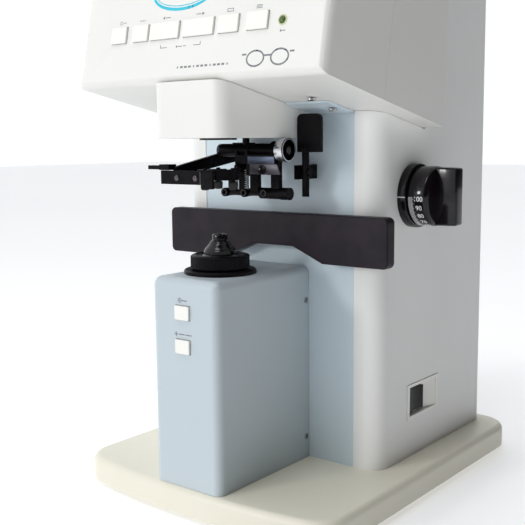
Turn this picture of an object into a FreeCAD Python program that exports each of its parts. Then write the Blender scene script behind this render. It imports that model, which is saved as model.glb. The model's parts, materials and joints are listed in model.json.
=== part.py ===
"""Auto lensmeter: base, column, tilted head, lower optics tower, sliding lens table, lens holder, marker.

The origin is on the resting plane, under the optical axis. +X is the operator's right, +Y points to the back
of the instrument and +Z is up. Lengths are in millimetres and angles in degrees.
"""
import FreeCAD
import Part
import Sketcher
import math
import os
import re
from FreeCAD import Placement, Rotation, Vector

SIZES = [
    # base and feet
    ("foot_height", 4, "rubber foot below the base"),
    ("foot_radius", 11, "rubber foot"),
    ("foot_inset", 30, "foot centre in from the base's sides"),
    ("base_width", 229, "overall width of the base"),
    ("base_back", 242, "back edge of the base behind the optical axis"),
    ("base_side_front", 31.3, "front corners ahead of the optical axis"),
    ("base_bow", 11.2, "how far the front edge bows out"),
    ("base_thickness", 18, "base plate"),
    ("base_corner", 25, "corners seen from above"),
    ("base_edge", 5, "rounding of the upper edge"),
    # casings
    ("wall", 3, "wall of the moulded covers"),
    ("seat", 0.2, "gap between a cover and what it fits round"),
    ("tower_width", 60, "lower optics tower"),
    ("tower_front", 38.3, "tower front ahead of the optical axis"),
    ("tower_height", 145.3, "tower above the base"),
    ("tower_edge", 6, "rounding of the tower's edges"),
    ("column_width", 180.8, "column"),
    ("column_front", 64, "front panel behind the optical axis"),
    ("column_back", 229, "back of the column"),
    ("column_corner", 14, "rounding of the column's front corners"),
    ("panel_width", 138.4, "blue-grey panel between the column's flanges"),
    ("panel_thickness", 2, "front panel sheet"),
    ("head_width", 216.4, "head"),
    ("head_front", 30.2, "lower front edge of the head ahead of the optical axis"),
    ("head_bottom", 297.3, "height of that edge"),
    ("head_tilt", 11.5, "lean of the front face, and slope of the underside"),
    ("head_height", 140, "front face along its lean"),
    ("head_back", 126, "back of the head's lower edge"),
    ("head_top_drop", 10, "fall of the top towards the back"),
    ("head_back_lean", 9, "how far the top of the head's back leans over"),
    ("head_bevel", 70, "depth of the front cover"),
    ("head_edge", 6, "rounding of the head's edges"),
    ("neck_width", 64, "upper optics housing"),
    ("neck_front", 32, "its front ahead of the optical axis"),
    ("neck_bottom", 260.2, "its lower edge"),
    ("neck_corner", 10, "rounding of its front corners"),
    ("neck_plate_thickness", 2.5, "dark plate that closes it"),
    # display and keys, measured in the head's own leaning frame
    ("window_width", 112, "display window"),
    ("window_height", 56, "display window along the face"),
    ("window_rise", 72, "its lower edge above the head's lower edge"),
    ("key_height", 11.2, "keys along the face"),
    ("key_rise", 29.6, "lower edge of the keys"),
    ("key_depth", 6, "keys, front to back"),
    ("key_proud", 1.6, "keys ahead of the face"),
    ("key_gap", 0.35, "gap round a key"),
    ("button_x", -0.5, "tower buttons' middle, right of the optical axis"),
    ("button_width", 12.4, "tower buttons"),
    ("button_height", 9.4, "tower buttons"),
    # nosepiece
    ("flange_radius", 25.3, "nose flange"),
    ("flange_thickness", 3, "nose flange"),
    ("ring_radius", 20.6, "knurled ring"),
    ("ring_height", 10.6, "knurled ring"),
    ("bell_radius", 11.4, "foot of the nosepiece"),
    ("tip_radius", 5.4, "tip of the nosepiece"),
    ("nose_tip", 194.5, "height of the lens rest"),
    ("bore_radius", 3.6, "light opening of the nosepiece"),
    ("ring_clearance", 0.05, "running fit of the knurled ring on its threadless seat"),
    # lens table
    ("table_length", 199.5, "lens table bar"),
    ("table_offset", 4.75, "its middle to the right of the optical axis"),
    ("table_height", 35, "lens table bar"),
    ("table_bottom", 171.3, "its lower edge"),
    ("table_thickness", 10, "front to back"),
    ("table_front", 50, "its face behind the optical axis at rest"),
    ("table_corner", 4, "rounded ends"),
    ("table_travel", 22, "forward travel"),
    ("cutout_height", 11.2, "clearance cut in the lower edge"),
    ("cutout_x", 7, "its middle, right of the optical axis"),
    ("cutout_top", 36, "its width at the top"),
    ("cutout_slope", 26, "run of each sloping side"),
    ("rail_radius", 4, "table rails"),
    ("rail_spacing", 88, "between the two rails"),
    ("rail_length", 92, "rails behind the bar"),
    ("rail_height", 188, "height of the rails"),
    ("rack_x", 60, "rack and pinion, right of the optical axis"),
    ("rack_width", 6, "rack"),
    ("gear_module", 1, "tooth size"),
    ("pinion_teeth", 32, "pinion"),
    ("running_clearance", 0.05, "radial clearance of shafts and rods"),
    # dial knob
    ("knob_y", 109.5, "dial axis behind the optical axis"),
    ("knob_z", 218, "height of the dial axis"),
    ("dial_ring_radius", 23, "index ring on the casing"),
    ("dial_ring_thickness", 6.5, "index ring"),
    ("drum_radius", 21.3, "numbered drum"),
    ("drum_length", 15, "numbered drum"),
    ("grip_length", 15, "grip bar ahead of the drum"),
    ("grip_thickness", 13, "grip bar across"),
    ("shaft_radius", 4, "dial shaft"),
    # lens holder
    ("holder_hub_radius", 14.5, "pin ring"),
    ("holder_bore", 7.5, "hole of the pin ring"),
    ("holder_bottom", 231.8, "underside of the pin ring"),
    ("holder_thickness", 7.2, "pin ring"),
    ("holder_travel", 28, "downward travel"),
    ("pin_circle", 11, "pins' distance from the optical axis"),
    ("pin_radius", 1.5, "lens pins"),
    ("pin_bottom", 225, "tips of the lens pins"),
    ("arm_x", -28, "side arm's middle plane"),
    ("arm_thickness", 3, "side arm"),
    ("holder_rod_x", -19, "slide rod of the holder"),
    ("holder_rod_y", 52, "slide rod of the holder"),
    ("slide_rod_radius", 2.5, "slide rods of holder and marker"),
    # marker
    ("barrel_y", 30, "marker barrel behind the optical axis"),
    ("barrel_z", 251.6, "marker barrel's height at rest"),
    ("barrel_radius", 4.7, "marker barrel"),
    ("marker_leg", 30, "barrel axis to the pens"),
    ("pen_spacing", 18, "between neighbouring pens"),
    ("pen_radius", 2.8, "pen holders"),
    ("pen_length", 14, "pen holder and tip"),
    ("disc_radius", 8.2, "end disc of the barrel"),
    ("marker_travel", 36, "marker's downward travel"),
    # marker lever
    ("lever_x", 40.5, "lever rod, right of the optical axis"),
    ("lever_y", 46, "lever pivot behind the optical axis"),
    ("lever_z", 236, "height of the lever pivot"),
    ("lever_rod_radius", 2.6, "lever rod"),
    ("thumb_width", 20.5, "thumb plate"),
    ("thumb_height", 26.6, "thumb plate"),
    ("thumb_rise", 14, "thumb plate above the pivot"),
    # switch
    ("switch_y", 119.5, "rocker's middle"),
    ("switch_z", 64, "rocker's height"),
    ("switch_length", 23, "rocker along the casing"),
    ("switch_height", 21, "rocker"),
    ("switch_recess", 3.5, "depth of the recess floor"),
    ("ramp_length", 17, "finger ramp behind the rocker"),
]

KEYS = {  # middle to the right of the optical axis, width
    "key_clear": (-69.4, 14.5), "key_mode": (-48.1, 14.5), "key_left": (-25.3, 26.5),
    "key_right": (5.2, 26.5), "key_print": (31, 16.5), "key_menu": (54.5, 16.5)}
BUTTONS = {"button_read": 22.8, "button_next": 46}  # each middle below the tower's top
NAMES = {alias for alias, number, meaning in SIZES}
AXES = {"z": Rotation(), "x": Rotation(Vector(0, 1, 0), 90), "y": Rotation(Vector(1, 0, 0), -90)}

doc = FreeCAD.newDocument("lensmeter")
sheet = doc.addObject("Spreadsheet::Sheet", "sizes")
workings = doc.addObject("Spreadsheet::Sheet", "workings")
parts = []
casing_screws = []
guide_bushes = []


def fill_sheet():
    for row, (alias, number, meaning) in enumerate(SIZES, 1):
        sheet.set("A%d" % row, meaning)
        sheet.set("B%d" % row, str(number))
        sheet.setAlias("B%d" % row, alias)
    doc.recompute()


def named(formula):
    """Point each size name in a formula at its cell."""
    return re.sub(r"[a-z_]+", lambda word: "sizes." + word[0] if word[0] in NAMES else word[0], str(formula))


def bind(item, prop, formula):
    item.setExpression(prop, named(formula))


def place(item, spot, rotation=None):
    if rotation:
        item.Placement = Placement(Vector(), rotation)
    for axis, formula in zip("xyz", spot):
        bind(item, ".Placement.Base." + axis, formula)
    return item


def block(name, size, corner):
    """Box from its low corner."""
    box = doc.addObject("Part::Box", name)
    for prop, formula in zip(("Length", "Width", "Height"), size):
        bind(box, prop, formula)
    return place(box, corner)


def rod(name, radius, length, start, axis="z"):
    """Cylinder from the middle of its first end, along an axis."""
    cylinder = doc.addObject("Part::Cylinder", name)
    bind(cylinder, "Radius", radius)
    bind(cylinder, "Height", length)
    return place(cylinder, start, AXES[axis])


def cone(name, low_radius, top_radius, length, start, axis="z"):
    item = doc.addObject("Part::Cone", name)
    for prop, formula in zip(("Radius1", "Radius2", "Height"), (low_radius, top_radius, length)):
        bind(item, prop, formula)
    return place(item, start, AXES[axis])


def fuse(name, shapes):
    item = doc.addObject("Part::MultiFuse", name)
    item.Shapes = shapes
    item.Refine = True
    return item


def group(name, shapes):
    """Separate solids that share one node."""
    item = doc.addObject("Part::Compound", name)
    item.Links = shapes
    return item


def cut(name, base, tools):
    item = doc.addObject("Part::Cut", name)
    item.Base = base
    item.Tool = tools[0] if len(tools) == 1 else fuse(name + "_tools", tools)
    return item


def tube(name, outer, inner, length, start, axis="z"):
    return cut(name, rod(name + "_outside", outer, length, start, axis),
               [rod(name + "_bore", inner, length, start, axis)])


def soften(name, item, radius, chosen):
    """Round the straight or curved edges that the chooser picks."""
    doc.recompute()
    numbers = [i for i, edge in enumerate(item.Shape.Edges, 1) if chosen(edge)]
    fillet = doc.addObject("Part::Fillet", name)
    fillet.Base = item
    size = value(radius)
    fillet.Edges = [(i, size, size) for i in numbers]
    return fillet


def value(formula):
    """Number of a formula of size names, for choosing edges and for loops."""
    workings.set("A1", "=" + named(formula))
    workings.recompute()
    return float(workings.get("A1"))


def part(label, item):
    """Keep a finished sub-part under its own label."""
    item.Label = label
    parts.append(item)
    return item


def sketch_on(body, plane, points):
    """Closed outline whose corners are tied to the sheet."""
    sketch = body.newObject("Sketcher::SketchObject", body.Name + "_outline")
    face = [feature for feature in body.Origin.OriginFeatures if feature.Role == plane][0]
    sketch.AttachmentSupport = [(face, "")]
    sketch.MapMode = "FlatFace"
    spots = [Vector(value(str(across)), value(str(up)), 0) for across, up in points]
    count = len(spots)
    for i in range(count):
        sketch.addGeometry(Part.LineSegment(spots[i], spots[(i + 1) % count]), False)
    for i in range(count):
        sketch.addConstraint(Sketcher.Constraint("Coincident", i, 2, (i + 1) % count, 1))
    for i, formulas in enumerate(points):
        for kind, line, formula, number in zip(("DistanceX", "DistanceY"), (-2, -1), formulas, spots[i]):
            if formula == 0:
                sketch.addConstraint(Sketcher.Constraint("PointOnObject", i, 1, line))
            else:
                held = sketch.addConstraint(Sketcher.Constraint(kind, -1, 1, i, 1, number))
                bind(sketch, "Constraints[%d]" % held, formula)
    return sketch


def padded(name, plane, points, length, middle=False):
    """Body with one outline padded along its plane's normal."""
    body = doc.addObject("PartDesign::Body", name)
    pad = body.newObject("PartDesign::Pad", name + "_pad")
    pad.Profile = (sketch_on(body, plane, points), [""])
    bind(pad, "Length", length)
    if middle:
        pad.SideType = "Symmetric"
    doc.recompute()
    return body


def turned(name, points):
    """Body of revolution about the vertical axis."""
    body = doc.addObject("PartDesign::Body", name)
    sketch = sketch_on(body, "XZ_Plane", points)
    turn = body.newObject("PartDesign::Revolution", name + "_turn")
    turn.Profile = (sketch, [""])
    turn.ReferenceAxis = (sketch, ["V_Axis"])
    turn.Angle = 360
    doc.recompute()
    return body


def rounded(body, radius, chosen):
    """Fillet on the body's last feature."""
    last = body.Tip
    fillet = body.newObject("PartDesign::Fillet", body.Name + "_round")
    edges = [i for i, edge in enumerate(last.Shape.Edges, 1) if chosen(edge)]
    fillet.Base = (last, ["Edge%d" % i for i in edges])
    bind(fillet, "Radius", radius)
    doc.recompute()
    return body


def hollowed(body, open_faces):
    """Leave the wall's thickness, with the chosen faces open."""
    last = body.Tip
    shell = body.newObject("PartDesign::Thickness", body.Name + "_shell")
    faces = [i for i, face in enumerate(last.Shape.Faces, 1) if open_faces(face)]
    shell.Base = (last, ["Face%d" % i for i in faces])
    bind(shell, "Value", "wall")
    shell.Reversed = True
    doc.recompute()
    return body


def along(edge, axis):
    """Whether a straight edge runs along an axis."""
    if edge.Curve.TypeId != "Part::GeomLine":
        return False
    return abs(abs(edge.tangentAt(edge.FirstParameter).dot(axis)) - 1) < 1e-6


X, Y, Z = Vector(1, 0, 0), Vector(0, 1, 0), Vector(0, 0, 1)
BASE_TOP = "(foot_height + base_thickness)"
TOWER_TOP = "(foot_height + base_thickness + tower_height)"
HEAD_TOP_Y = "(head_height * sin(head_tilt) - head_front)"
HEAD_TOP_Z = "(head_bottom + head_height * cos(head_tilt))"
BACK_BOTTOM = "(head_bottom - (head_back + head_front) * tan(head_tilt))"
BACK_TOP = "(" + HEAD_TOP_Z + " - head_top_drop)"
COLUMN_TOP = "(" + BACK_TOP + " - head_top_drop)"
SEAM_TOP_Y = "(head_bevel * cos(head_tilt) - head_front + head_height * sin(head_tilt) - 1)"


def underside(y):
    """Height of the head's sloping underside."""
    return "(head_bottom - (%s + head_front) * tan(head_tilt))" % y


def in_head(item, across, depth, rise):
    """Place an item that leans with the head: across, in from the face, and up the face."""
    item.Placement = Placement(Vector(), Rotation(Vector(-1, 0, 0), value("head_tilt")))
    bind(item, ".Placement.Base.x", across)
    bind(item, ".Placement.Base.y",
         "(%s) * cos(head_tilt) + (%s) * sin(head_tilt) - head_front" % (depth, rise))
    bind(item, ".Placement.Base.z",
         "head_bottom - (%s) * sin(head_tilt) + (%s) * cos(head_tilt)" % (depth, rise))
    return item


def head_block(name, size, across, depth, rise):
    return in_head(block(name, size, (0, 0, 0)), across, depth, rise)


def base():
    front, side = "(-base_side_front)", "base_width / 2"
    plate = block("base_block", ("base_width", "base_back + base_side_front", "base_thickness"),
                  ("-" + side, front, "foot_height"))
    bow_radius = "(base_width^2 / (8 * base_bow) + base_bow / 2)"
    bow = rod("bow", bow_radius, "base_thickness", (0, bow_radius + " + %s - base_bow" % front,
                                                    "foot_height"))
    slab = block("bow_slab", ("base_width", "base_bow + 1", "base_thickness"),
                 ("-" + side, front + " - base_bow", "foot_height"))
    front_bow = doc.addObject("Part::MultiCommon", "front_bow")
    front_bow.Shapes = [bow, slab]
    cornered = soften("base_corners", fuse("base_joined", [plate, front_bow]), "base_corner",
                      lambda e: along(e, Z))
    top = value(BASE_TOP)
    part("base_plate", soften("base_edges", cornered, "base_edge",
                              lambda e: abs(e.BoundBox.ZMin - top) < 1e-6))
    feet = []
    for side in (-1, 1):
        for row, y in enumerate(("foot_inset - base_side_front", "base_back - foot_inset")):
            name = "foot_%d_%d" % (side + 1, row)
            feet.append(rod(name, "foot_radius", "foot_height",
                            ("%d * (base_width / 2 - foot_inset)" % side, y, 0)))
    part("rubber_feet", group("rubber_feet", feet))


def column():
    panel_top = "(%s - 1.2)" % underside("column_front")
    profile = [("column_front", BASE_TOP), ("column_back", BASE_TOP), ("column_back", COLUMN_TOP),
               ("head_back + head_back_lean + seat", BACK_TOP), ("head_back + seat", BACK_BOTTOM + " - seat"),
               ("column_front", underside("column_front") + " - seat")]
    shell = padded("column_body", "YZ_Plane", profile, "column_width", middle=True)
    front = value("column_front")
    rounded(shell, "column_corner", lambda e: along(e, Z) and abs(e.CenterOfMass.y - front) < 1e-6)
    back = value("column_back")
    rounded(shell, "head_edge", lambda e: along(e, Z) and abs(e.CenterOfMass.y - back) < 1e-6)
    floor = value(BASE_TOP)
    hollowed(shell, lambda f: abs(f.BoundBox.ZMax - floor) < 1e-6)
    openings = [
        block("panel_opening", ("panel_width", "wall + 2 * seat", "%s - (%s) + 2" % (panel_top, BASE_TOP)),
              ("-panel_width / 2", "column_front - seat", BASE_TOP)),
        block("rear_opening", ("column_width - 40", "wall + 2 * seat", "%s - %s - 60" % (COLUMN_TOP,
                "(" + BASE_TOP + ")")),
              ("20 - column_width / 2", "column_back - wall - seat", BASE_TOP + " + 10")),
        block("switch_hole", ("wall + 2 * seat", "switch_length + ramp_length + 8", "switch_height + 6"),
              ("column_width / 2 - wall - seat", "switch_y - switch_length / 2 - 4",
               "switch_z - switch_height / 2 - 3")),
        rod("shaft_hole", "shaft_radius + 1", "wall + 2", ("column_width / 2 - wall - 1", "knob_y",
                "knob_z"), "x"),
    ]
    part("column_shell", cut("column_shell", shell, openings))
    panel = block("panel_sheet", ("panel_width - 2 * seat", "panel_thickness", "%s - (%s)" % (panel_top,
            BASE_TOP)),
                  ("seat - panel_width / 2", "column_front + 0.5", BASE_TOP))
    holes = [block("rack_slot", ("rack_width + 3", "panel_thickness + 1", "14"),
                   ("rack_x - rack_width / 2 - 1.5", "column_front + 0.25",
                    "knob_z - gear_module * pinion_teeth / 2 - 11"))]
    for side in (-1, 1):
        holes.append(rod("rail_hole_%d" % (side + 1), "rail_radius + 1", "panel_thickness + 1",
                         ("%d * rail_spacing / 2" % side, "column_front + 0.25", "rail_height"), "y"))
    part("front_panel", cut("front_panel", panel, holes))
    rear = block("rear_sheet", ("column_width - 40 - 2 * seat", "wall",
                                "%s - (%s) - 60 - 2 * seat" % (COLUMN_TOP, BASE_TOP)),
                 ("20 + seat - column_width / 2", "column_back - wall", BASE_TOP + " + 10 + seat"))
    vents = [block("vent_%d" % i, ("60", "wall + 1", "4"), ("-30", "column_back - wall - 0.5",
            "%d" % (250 + 9 * i)))
             for i in range(8)]
    inlet_hole = block("inlet_hole", ("28", "wall + 1", "21"), ("-64", "column_back - wall - 0.5", "54.5"))
    corners, holes = [], vents + [inlet_hole]
    for side in (-1, 1):
        for row, z in enumerate((BASE_TOP + " + 18", COLUMN_TOP + " - 60")):
            spot = ("%d * (column_width / 2 - 27)" % side, "column_back - 1", z)
            corners.append(rod("rear_screw_%d_%d" % (side + 1, row), "3", "2.2", spot, "y"))
            holes.append(rod("rear_screw_hole_%d_%d" % (side + 1, row), "3", "4", spot, "y"))
    part("rear_panel", cut("rear_panel", rear, holes))
    casing_screws.extend(corners)


def tower():
    half, front = "tower_width / 2", "-tower_front"
    cover = padded("tower_body", "XY_Plane", [("-" + half, front), (half, front), (half,
            "column_front + 0.3"),
                                              ("-" + half, "column_front + 0.3")], "tower_height")
    rounded(cover, "tower_edge", lambda e: along(e, Z) and e.CenterOfMass.y < 0)
    top, back = value("tower_height"), value("column_front")
    rounded(cover, "tower_edge", lambda e: abs(e.BoundBox.ZMin - top) < 1e-6 and e.BoundBox.YMin < back - 1)
    hollowed(cover, lambda f: f.BoundBox.ZMax < 1e-6)
    bind(cover, ".Placement.Base.z", BASE_TOP)
    openings = [rod("nose_hole", "flange_radius - 6", "wall + 2", (0, 0, TOWER_TOP + " - wall - 1"))]
    for name, drop in BUTTONS.items():
        openings.append(block(name + "_hole", ("button_width + 2 * key_gap", "wall + 2",
                                               "button_height + 2 * key_gap"),
                              ("button_x - button_width / 2 - key_gap", "-tower_front - 1",
                               "%s - %s - button_height / 2 - key_gap" % (TOWER_TOP, drop))))
    screws = []
    for i, z in enumerate(("foot_height + base_thickness + 16.6", TOWER_TOP + " - 25.3")):
        screws.append(rod("tower_screw_%d" % i, "2", "1.5", ("tower_width / 2 - 0.7",
                "column_front - 3.4", z), "x"))
        screws.append(rod("tower_screw_left_%d" % i, "2", "1.5", ("-tower_width / 2 - 0.8",
                "column_front - 3.4", z), "x"))
        for j, x in enumerate(("tower_width / 2 - 0.7", "-tower_width / 2 - 1.3")):
            openings.append(rod("screw_seat_%d_%d" % (i, j), "2.1", "2", (x, "column_front - 3.4", z), "x"))
    part("tower_cover", cut("tower_cover", cover, openings))
    casing_screws.extend(screws)
    for name, drop in BUTTONS.items():
        cap = block(name + "_cap", ("button_width", "wall + key_proud + 2", "button_height"),
                    ("button_x - button_width / 2", "-tower_front - key_proud",
                     "%s - %s - button_height / 2" % (TOWER_TOP, drop)))
        part(name, soften(name, cap, "1", lambda e: along(e, Y)))


def head():
    seam_y = "(head_bevel * cos(head_tilt) - head_front)"
    seam_z = "(head_bottom - head_bevel * sin(head_tilt))"
    run = "(head_back + head_back_lean - %s)" % HEAD_TOP_Y
    fall = "head_top_drop * (%s - %s) / %s" % (SEAM_TOP_Y, HEAD_TOP_Y, run)
    seam_top_z = "(%s - %s)" % (HEAD_TOP_Z, fall)
    front = padded("head_front_body", "YZ_Plane", [
        ("-head_front", "head_bottom"), (seam_y + " - seat / 2", seam_z),
        (SEAM_TOP_Y + " - seat / 2", seam_top_z), (HEAD_TOP_Y, HEAD_TOP_Z)], "head_width", middle=True)
    rear = padded("head_rear_body", "YZ_Plane", [
        (seam_y + " + seat / 2", seam_z), ("head_back", BACK_BOTTOM),
        ("head_back + head_back_lean", BACK_TOP), (SEAM_TOP_Y + " + seat / 2", seam_top_z)], "head_width", middle=True)
    face_y = value(HEAD_TOP_Y)
    joint_front, joint_rear = value(seam_y + " - seat / 2"), value(seam_y + " + seat / 2")
    rounded(front, "head_edge", lambda e: e.BoundBox.YMax < face_y + 1e-6)
    rounded(rear, "head_edge", lambda e: e.BoundBox.YMin > value("head_back") - 1e-6)
    lean_run = value(SEAM_TOP_Y) - value(seam_y)
    hollowed(front, lambda f: abs(f.BoundBox.YMin - joint_front) < 1e-3 and f.BoundBox.YLength < lean_run + 1)
    hollowed(rear, lambda f: abs(f.BoundBox.YMin - joint_rear) < 1e-3 and f.BoundBox.YLength < lean_run + 1)
    face = [head_block("window_hole", ("window_width", "wall + 2", "window_height"),
                       "-window_width / 2", "-1", "window_rise"),
            in_head(rod("lamp_hole", "2.6", "wall + 2", (0, 0, 0), "y"), "73.7", "-1", "34")]
    face[-1].Placement = Placement(Vector(), Rotation(Vector(1, 0, 0), -90 - value("head_tilt")))
    for name, (x, width) in KEYS.items():
        face.append(head_block(name + "_hole", ("%s + 2 * key_gap" % width, "wall + 2",
                                                "key_height + 2 * key_gap"),
                               "%s - %s / 2 - key_gap" % (x, width), "-1", "key_rise - key_gap"))
    well = ("neck_width - 2 * wall - 2", "column_front - 4 + 18", "60")
    corner = ("wall + 1 - neck_width / 2", "-18", "head_bottom - 50")
    face.append(block("front_well", well, corner))
    part("head_front_cover", cut("head_front_cover", front, face))
    lid_hole = block("lid_hole", ("84", "52.6", "30"), ("-92", SEAM_TOP_Y + " + 3.7", BACK_TOP + " - 12"))
    part("head_rear_cover", cut("head_rear_cover", rear, [block("rear_well", well, corner), lid_hole]))
    for name, (x, width) in KEYS.items():
        cap = head_block(name + "_cap", (width, "key_depth", "key_height"), "%s - %s / 2" % (x, width),
                         "-key_proud", "key_rise")
        part(name, soften(name, cap, "1", lambda e: abs(e.Length - value("key_depth")) < 0.01))
    pane = head_block("pane", ("window_width + 8", "2", "window_height + 8"), "-4 - window_width / 2",
                      "wall + seat", "window_rise - 4")
    part("display_window", pane)
    part("lcd_module", head_block("lcd", ("window_width + 6", "9", "window_height + 6"),
                                  "-3 - window_width / 2",
                                  "wall + 2 * seat + 2", "window_rise - 3"))
    lamp = in_head(rod("lamp_body", "2.3", "7", (0, 0, 0), "y"), "73.7", "-0.8", "34")
    lamp.Placement = Placement(Vector(), Rotation(Vector(1, 0, 0), -90 - value("head_tilt")))
    part("power_lamp", lamp)


def neck():
    profile = [("-neck_front", "neck_bottom"), ("column_front", "neck_bottom"),
               ("column_front", underside("column_front") + " - seat"), ("-neck_front",
                       underside("-neck_front") + " - seat")]
    box = padded("neck_body", "YZ_Plane", profile, "neck_width", middle=True)
    front = value("-neck_front")
    rounded(box, "neck_corner", lambda e: along(e, Z) and abs(e.CenterOfMass.y - front) < 1e-6)
    top, low = value(underside("column_front")), value("neck_bottom")
    hollowed(box, lambda f: f.BoundBox.ZMin > top - 1 or f.BoundBox.ZMax < low + 1e-6)
    part("neck_housing", box)
    half, plate_z = "(neck_width / 2 - wall - 0.3)", "neck_bottom + 0.6"
    plate = block("neck_sheet", ("2 * " + half, "column_front + neck_front - 2 * wall - 1",
                                 "neck_plate_thickness"),
                  ("-" + half, "wall + 0.5 - neck_front", plate_z))
    bezel = rod("objective_bezel", "12.8", "2.4", (0, 0, "neck_bottom - 1.2"))
    holes = [rod("window_bore", "9.2", "9", (0, 0, "neck_bottom - 4")),
             rod("marker_bush_bore", "6.2", "9", (0, "barrel_y", "neck_bottom - 4")),
             rod("holder_bush_bore", "5.2", "9", ("holder_rod_x", "holder_rod_y", "neck_bottom - 4"))]
    corners = soften("neck_sheet_round", plate, "6", lambda e: along(e, Z) and e.CenterOfMass.y < 0)
    part("neck_plate", cut("neck_plate", fuse("neck_plate_joined", [corners, bezel]), holes))
    part("objective_window", rod("objective", "9", "2", (0, 0, "neck_bottom + 0.9")))
    loose = "slide_rod_radius + running_clearance"
    guide_bushes.append(tube("marker_bush", "6", loose, "14", (0, "barrel_y", plate_z)))
    guide_bushes.append(tube("holder_bush", "5", loose, "14", ("holder_rod_x", "holder_rod_y", plate_z)))
    near, far = ("(column_front - 31)", "(column_front - 0.3)")
    flap = padded("flap_body", "YZ_Plane", [
        (near, underside(near) + " - seat - 1.2"), (far, underside(far) + " - seat - 1.2"),
        (far, underside(far) + " - seat"), (near,
                                            underside(near) + " - seat")],
        "panel_width / 2 - neck_width / 2 - 0.5")
    bind(flap, ".Placement.Base.x", "neck_width / 2 + 0.3")
    part("panel_flange", flap)
    screws = []
    for i, (y, drop) in enumerate((("23", "2.4"), ("48", "3.6"))):
        screws.append(rod("flange_screw_%d" % i, "2.8", "1.6", ("62", y, underside(y) + " - seat - " + drop)))
    casing_screws.extend(screws)
    part("casing_screws", group("casing_screws", casing_screws))


def nose():
    top = TOWER_TOP
    part("nose_flange", tube("nose_flange", "flange_radius", "ring_radius - 6", "flange_thickness", (0,
            0, top)))
    foot = "(%s + flange_thickness + 0.3)" % top
    seat_radius = "bell_radius + 1.6"
    ring = turned("ring_body", [
        (seat_radius + " + ring_clearance", "0"), ("ring_radius - 0.8", "0"), ("ring_radius", "0.8"),
        ("ring_radius", "ring_height - 1.5"), ("ring_radius - 2.5", "ring_height"),
        (seat_radius + " + ring_clearance", "ring_height")])
    bind(ring, ".Placement.Base.z", foot)
    part("nose_ring", ring)
    bell = "(nose_tip - %s)" % top
    part("nosepiece", turned("nose_body", [
        ("bore_radius", "0"), (seat_radius, "0"), (seat_radius, "flange_thickness + 0.3 + ring_height + 0.5"),
        ("bell_radius", "flange_thickness + ring_height + 1.5"), ("bell_radius - 1.2", bell + " - 11"),
        ("tip_radius + 1.6", bell + " - 7.5"), ("tip_radius", bell + " - 3"), ("tip_radius", bell),
        ("bore_radius", bell)]))
    bind(parts[-1], ".Placement.Base.z", top)
    part("nose_glass", rod("glass", "bore_radius - 0.05", "1.5", (0, 0, "nose_tip - 14")))


def table():
    half, low = "table_length / 2", "table_bottom"
    right, left = "table_offset + " + half, "table_offset - " + half
    slope_right, slope_left = "cutout_x + cutout_top / 2", "cutout_x - cutout_top / 2"
    bar = padded("table_body", "XZ_Plane", [
        (left, low), (slope_left + " - cutout_slope", low), (slope_left, low + " + cutout_height"),
        (slope_right, low + " + cutout_height"), (slope_right + " + cutout_slope", low), (right, low),
        (right, low + " + table_height"), (left, low + " + table_height")], "table_thickness")
    ends = (value(left), value(right))
    rounded(bar, "table_corner",
            lambda e: along(e, Y) and min(abs(e.CenterOfMass.x - end) for end in ends) < 1e-6)
    bind(bar, ".Placement.Base.y", "table_front + table_thickness")
    part("lens_table", bar)
    rails = [rod("rail_%d" % (side + 1), "rail_radius", "rail_length",
                 ("%d * rail_spacing / 2" % side, "table_front + table_thickness",
                  "rail_height"), "y") for side in (-1, 1)]
    part("table_rails", group("table_rails", rails))
    bushes = [tube("bush_%d" % (side + 1), "rail_radius + 4", "rail_radius + running_clearance", "28",
                   ("%d * rail_spacing / 2" % side, "column_front + 4",
                    "rail_height"), "y") for side in (-1, 1)]
    guide_bushes.extend(bushes)
    chassis = block("chassis_sheet", ("panel_width - 8", "3", "neck_bottom - (%s) - 8" % BASE_TOP),
                    ("4 - panel_width / 2", "column_front + 10", BASE_TOP))
    holes = [rod("bush_seat_%d" % (side + 1), "rail_radius + 4", "5",
                 ("%d * rail_spacing / 2" % side, "column_front + 9",
                  "rail_height"), "y") for side in (-1, 1)]
    holes.append(block("rack_way", ("rack_width + 4", "5", "60"), ("rack_x - rack_width / 2 - 2",
            "column_front + 9", "rail_height - 2")))
    part("chassis_plate", cut("chassis_plate", chassis, holes))


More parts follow.
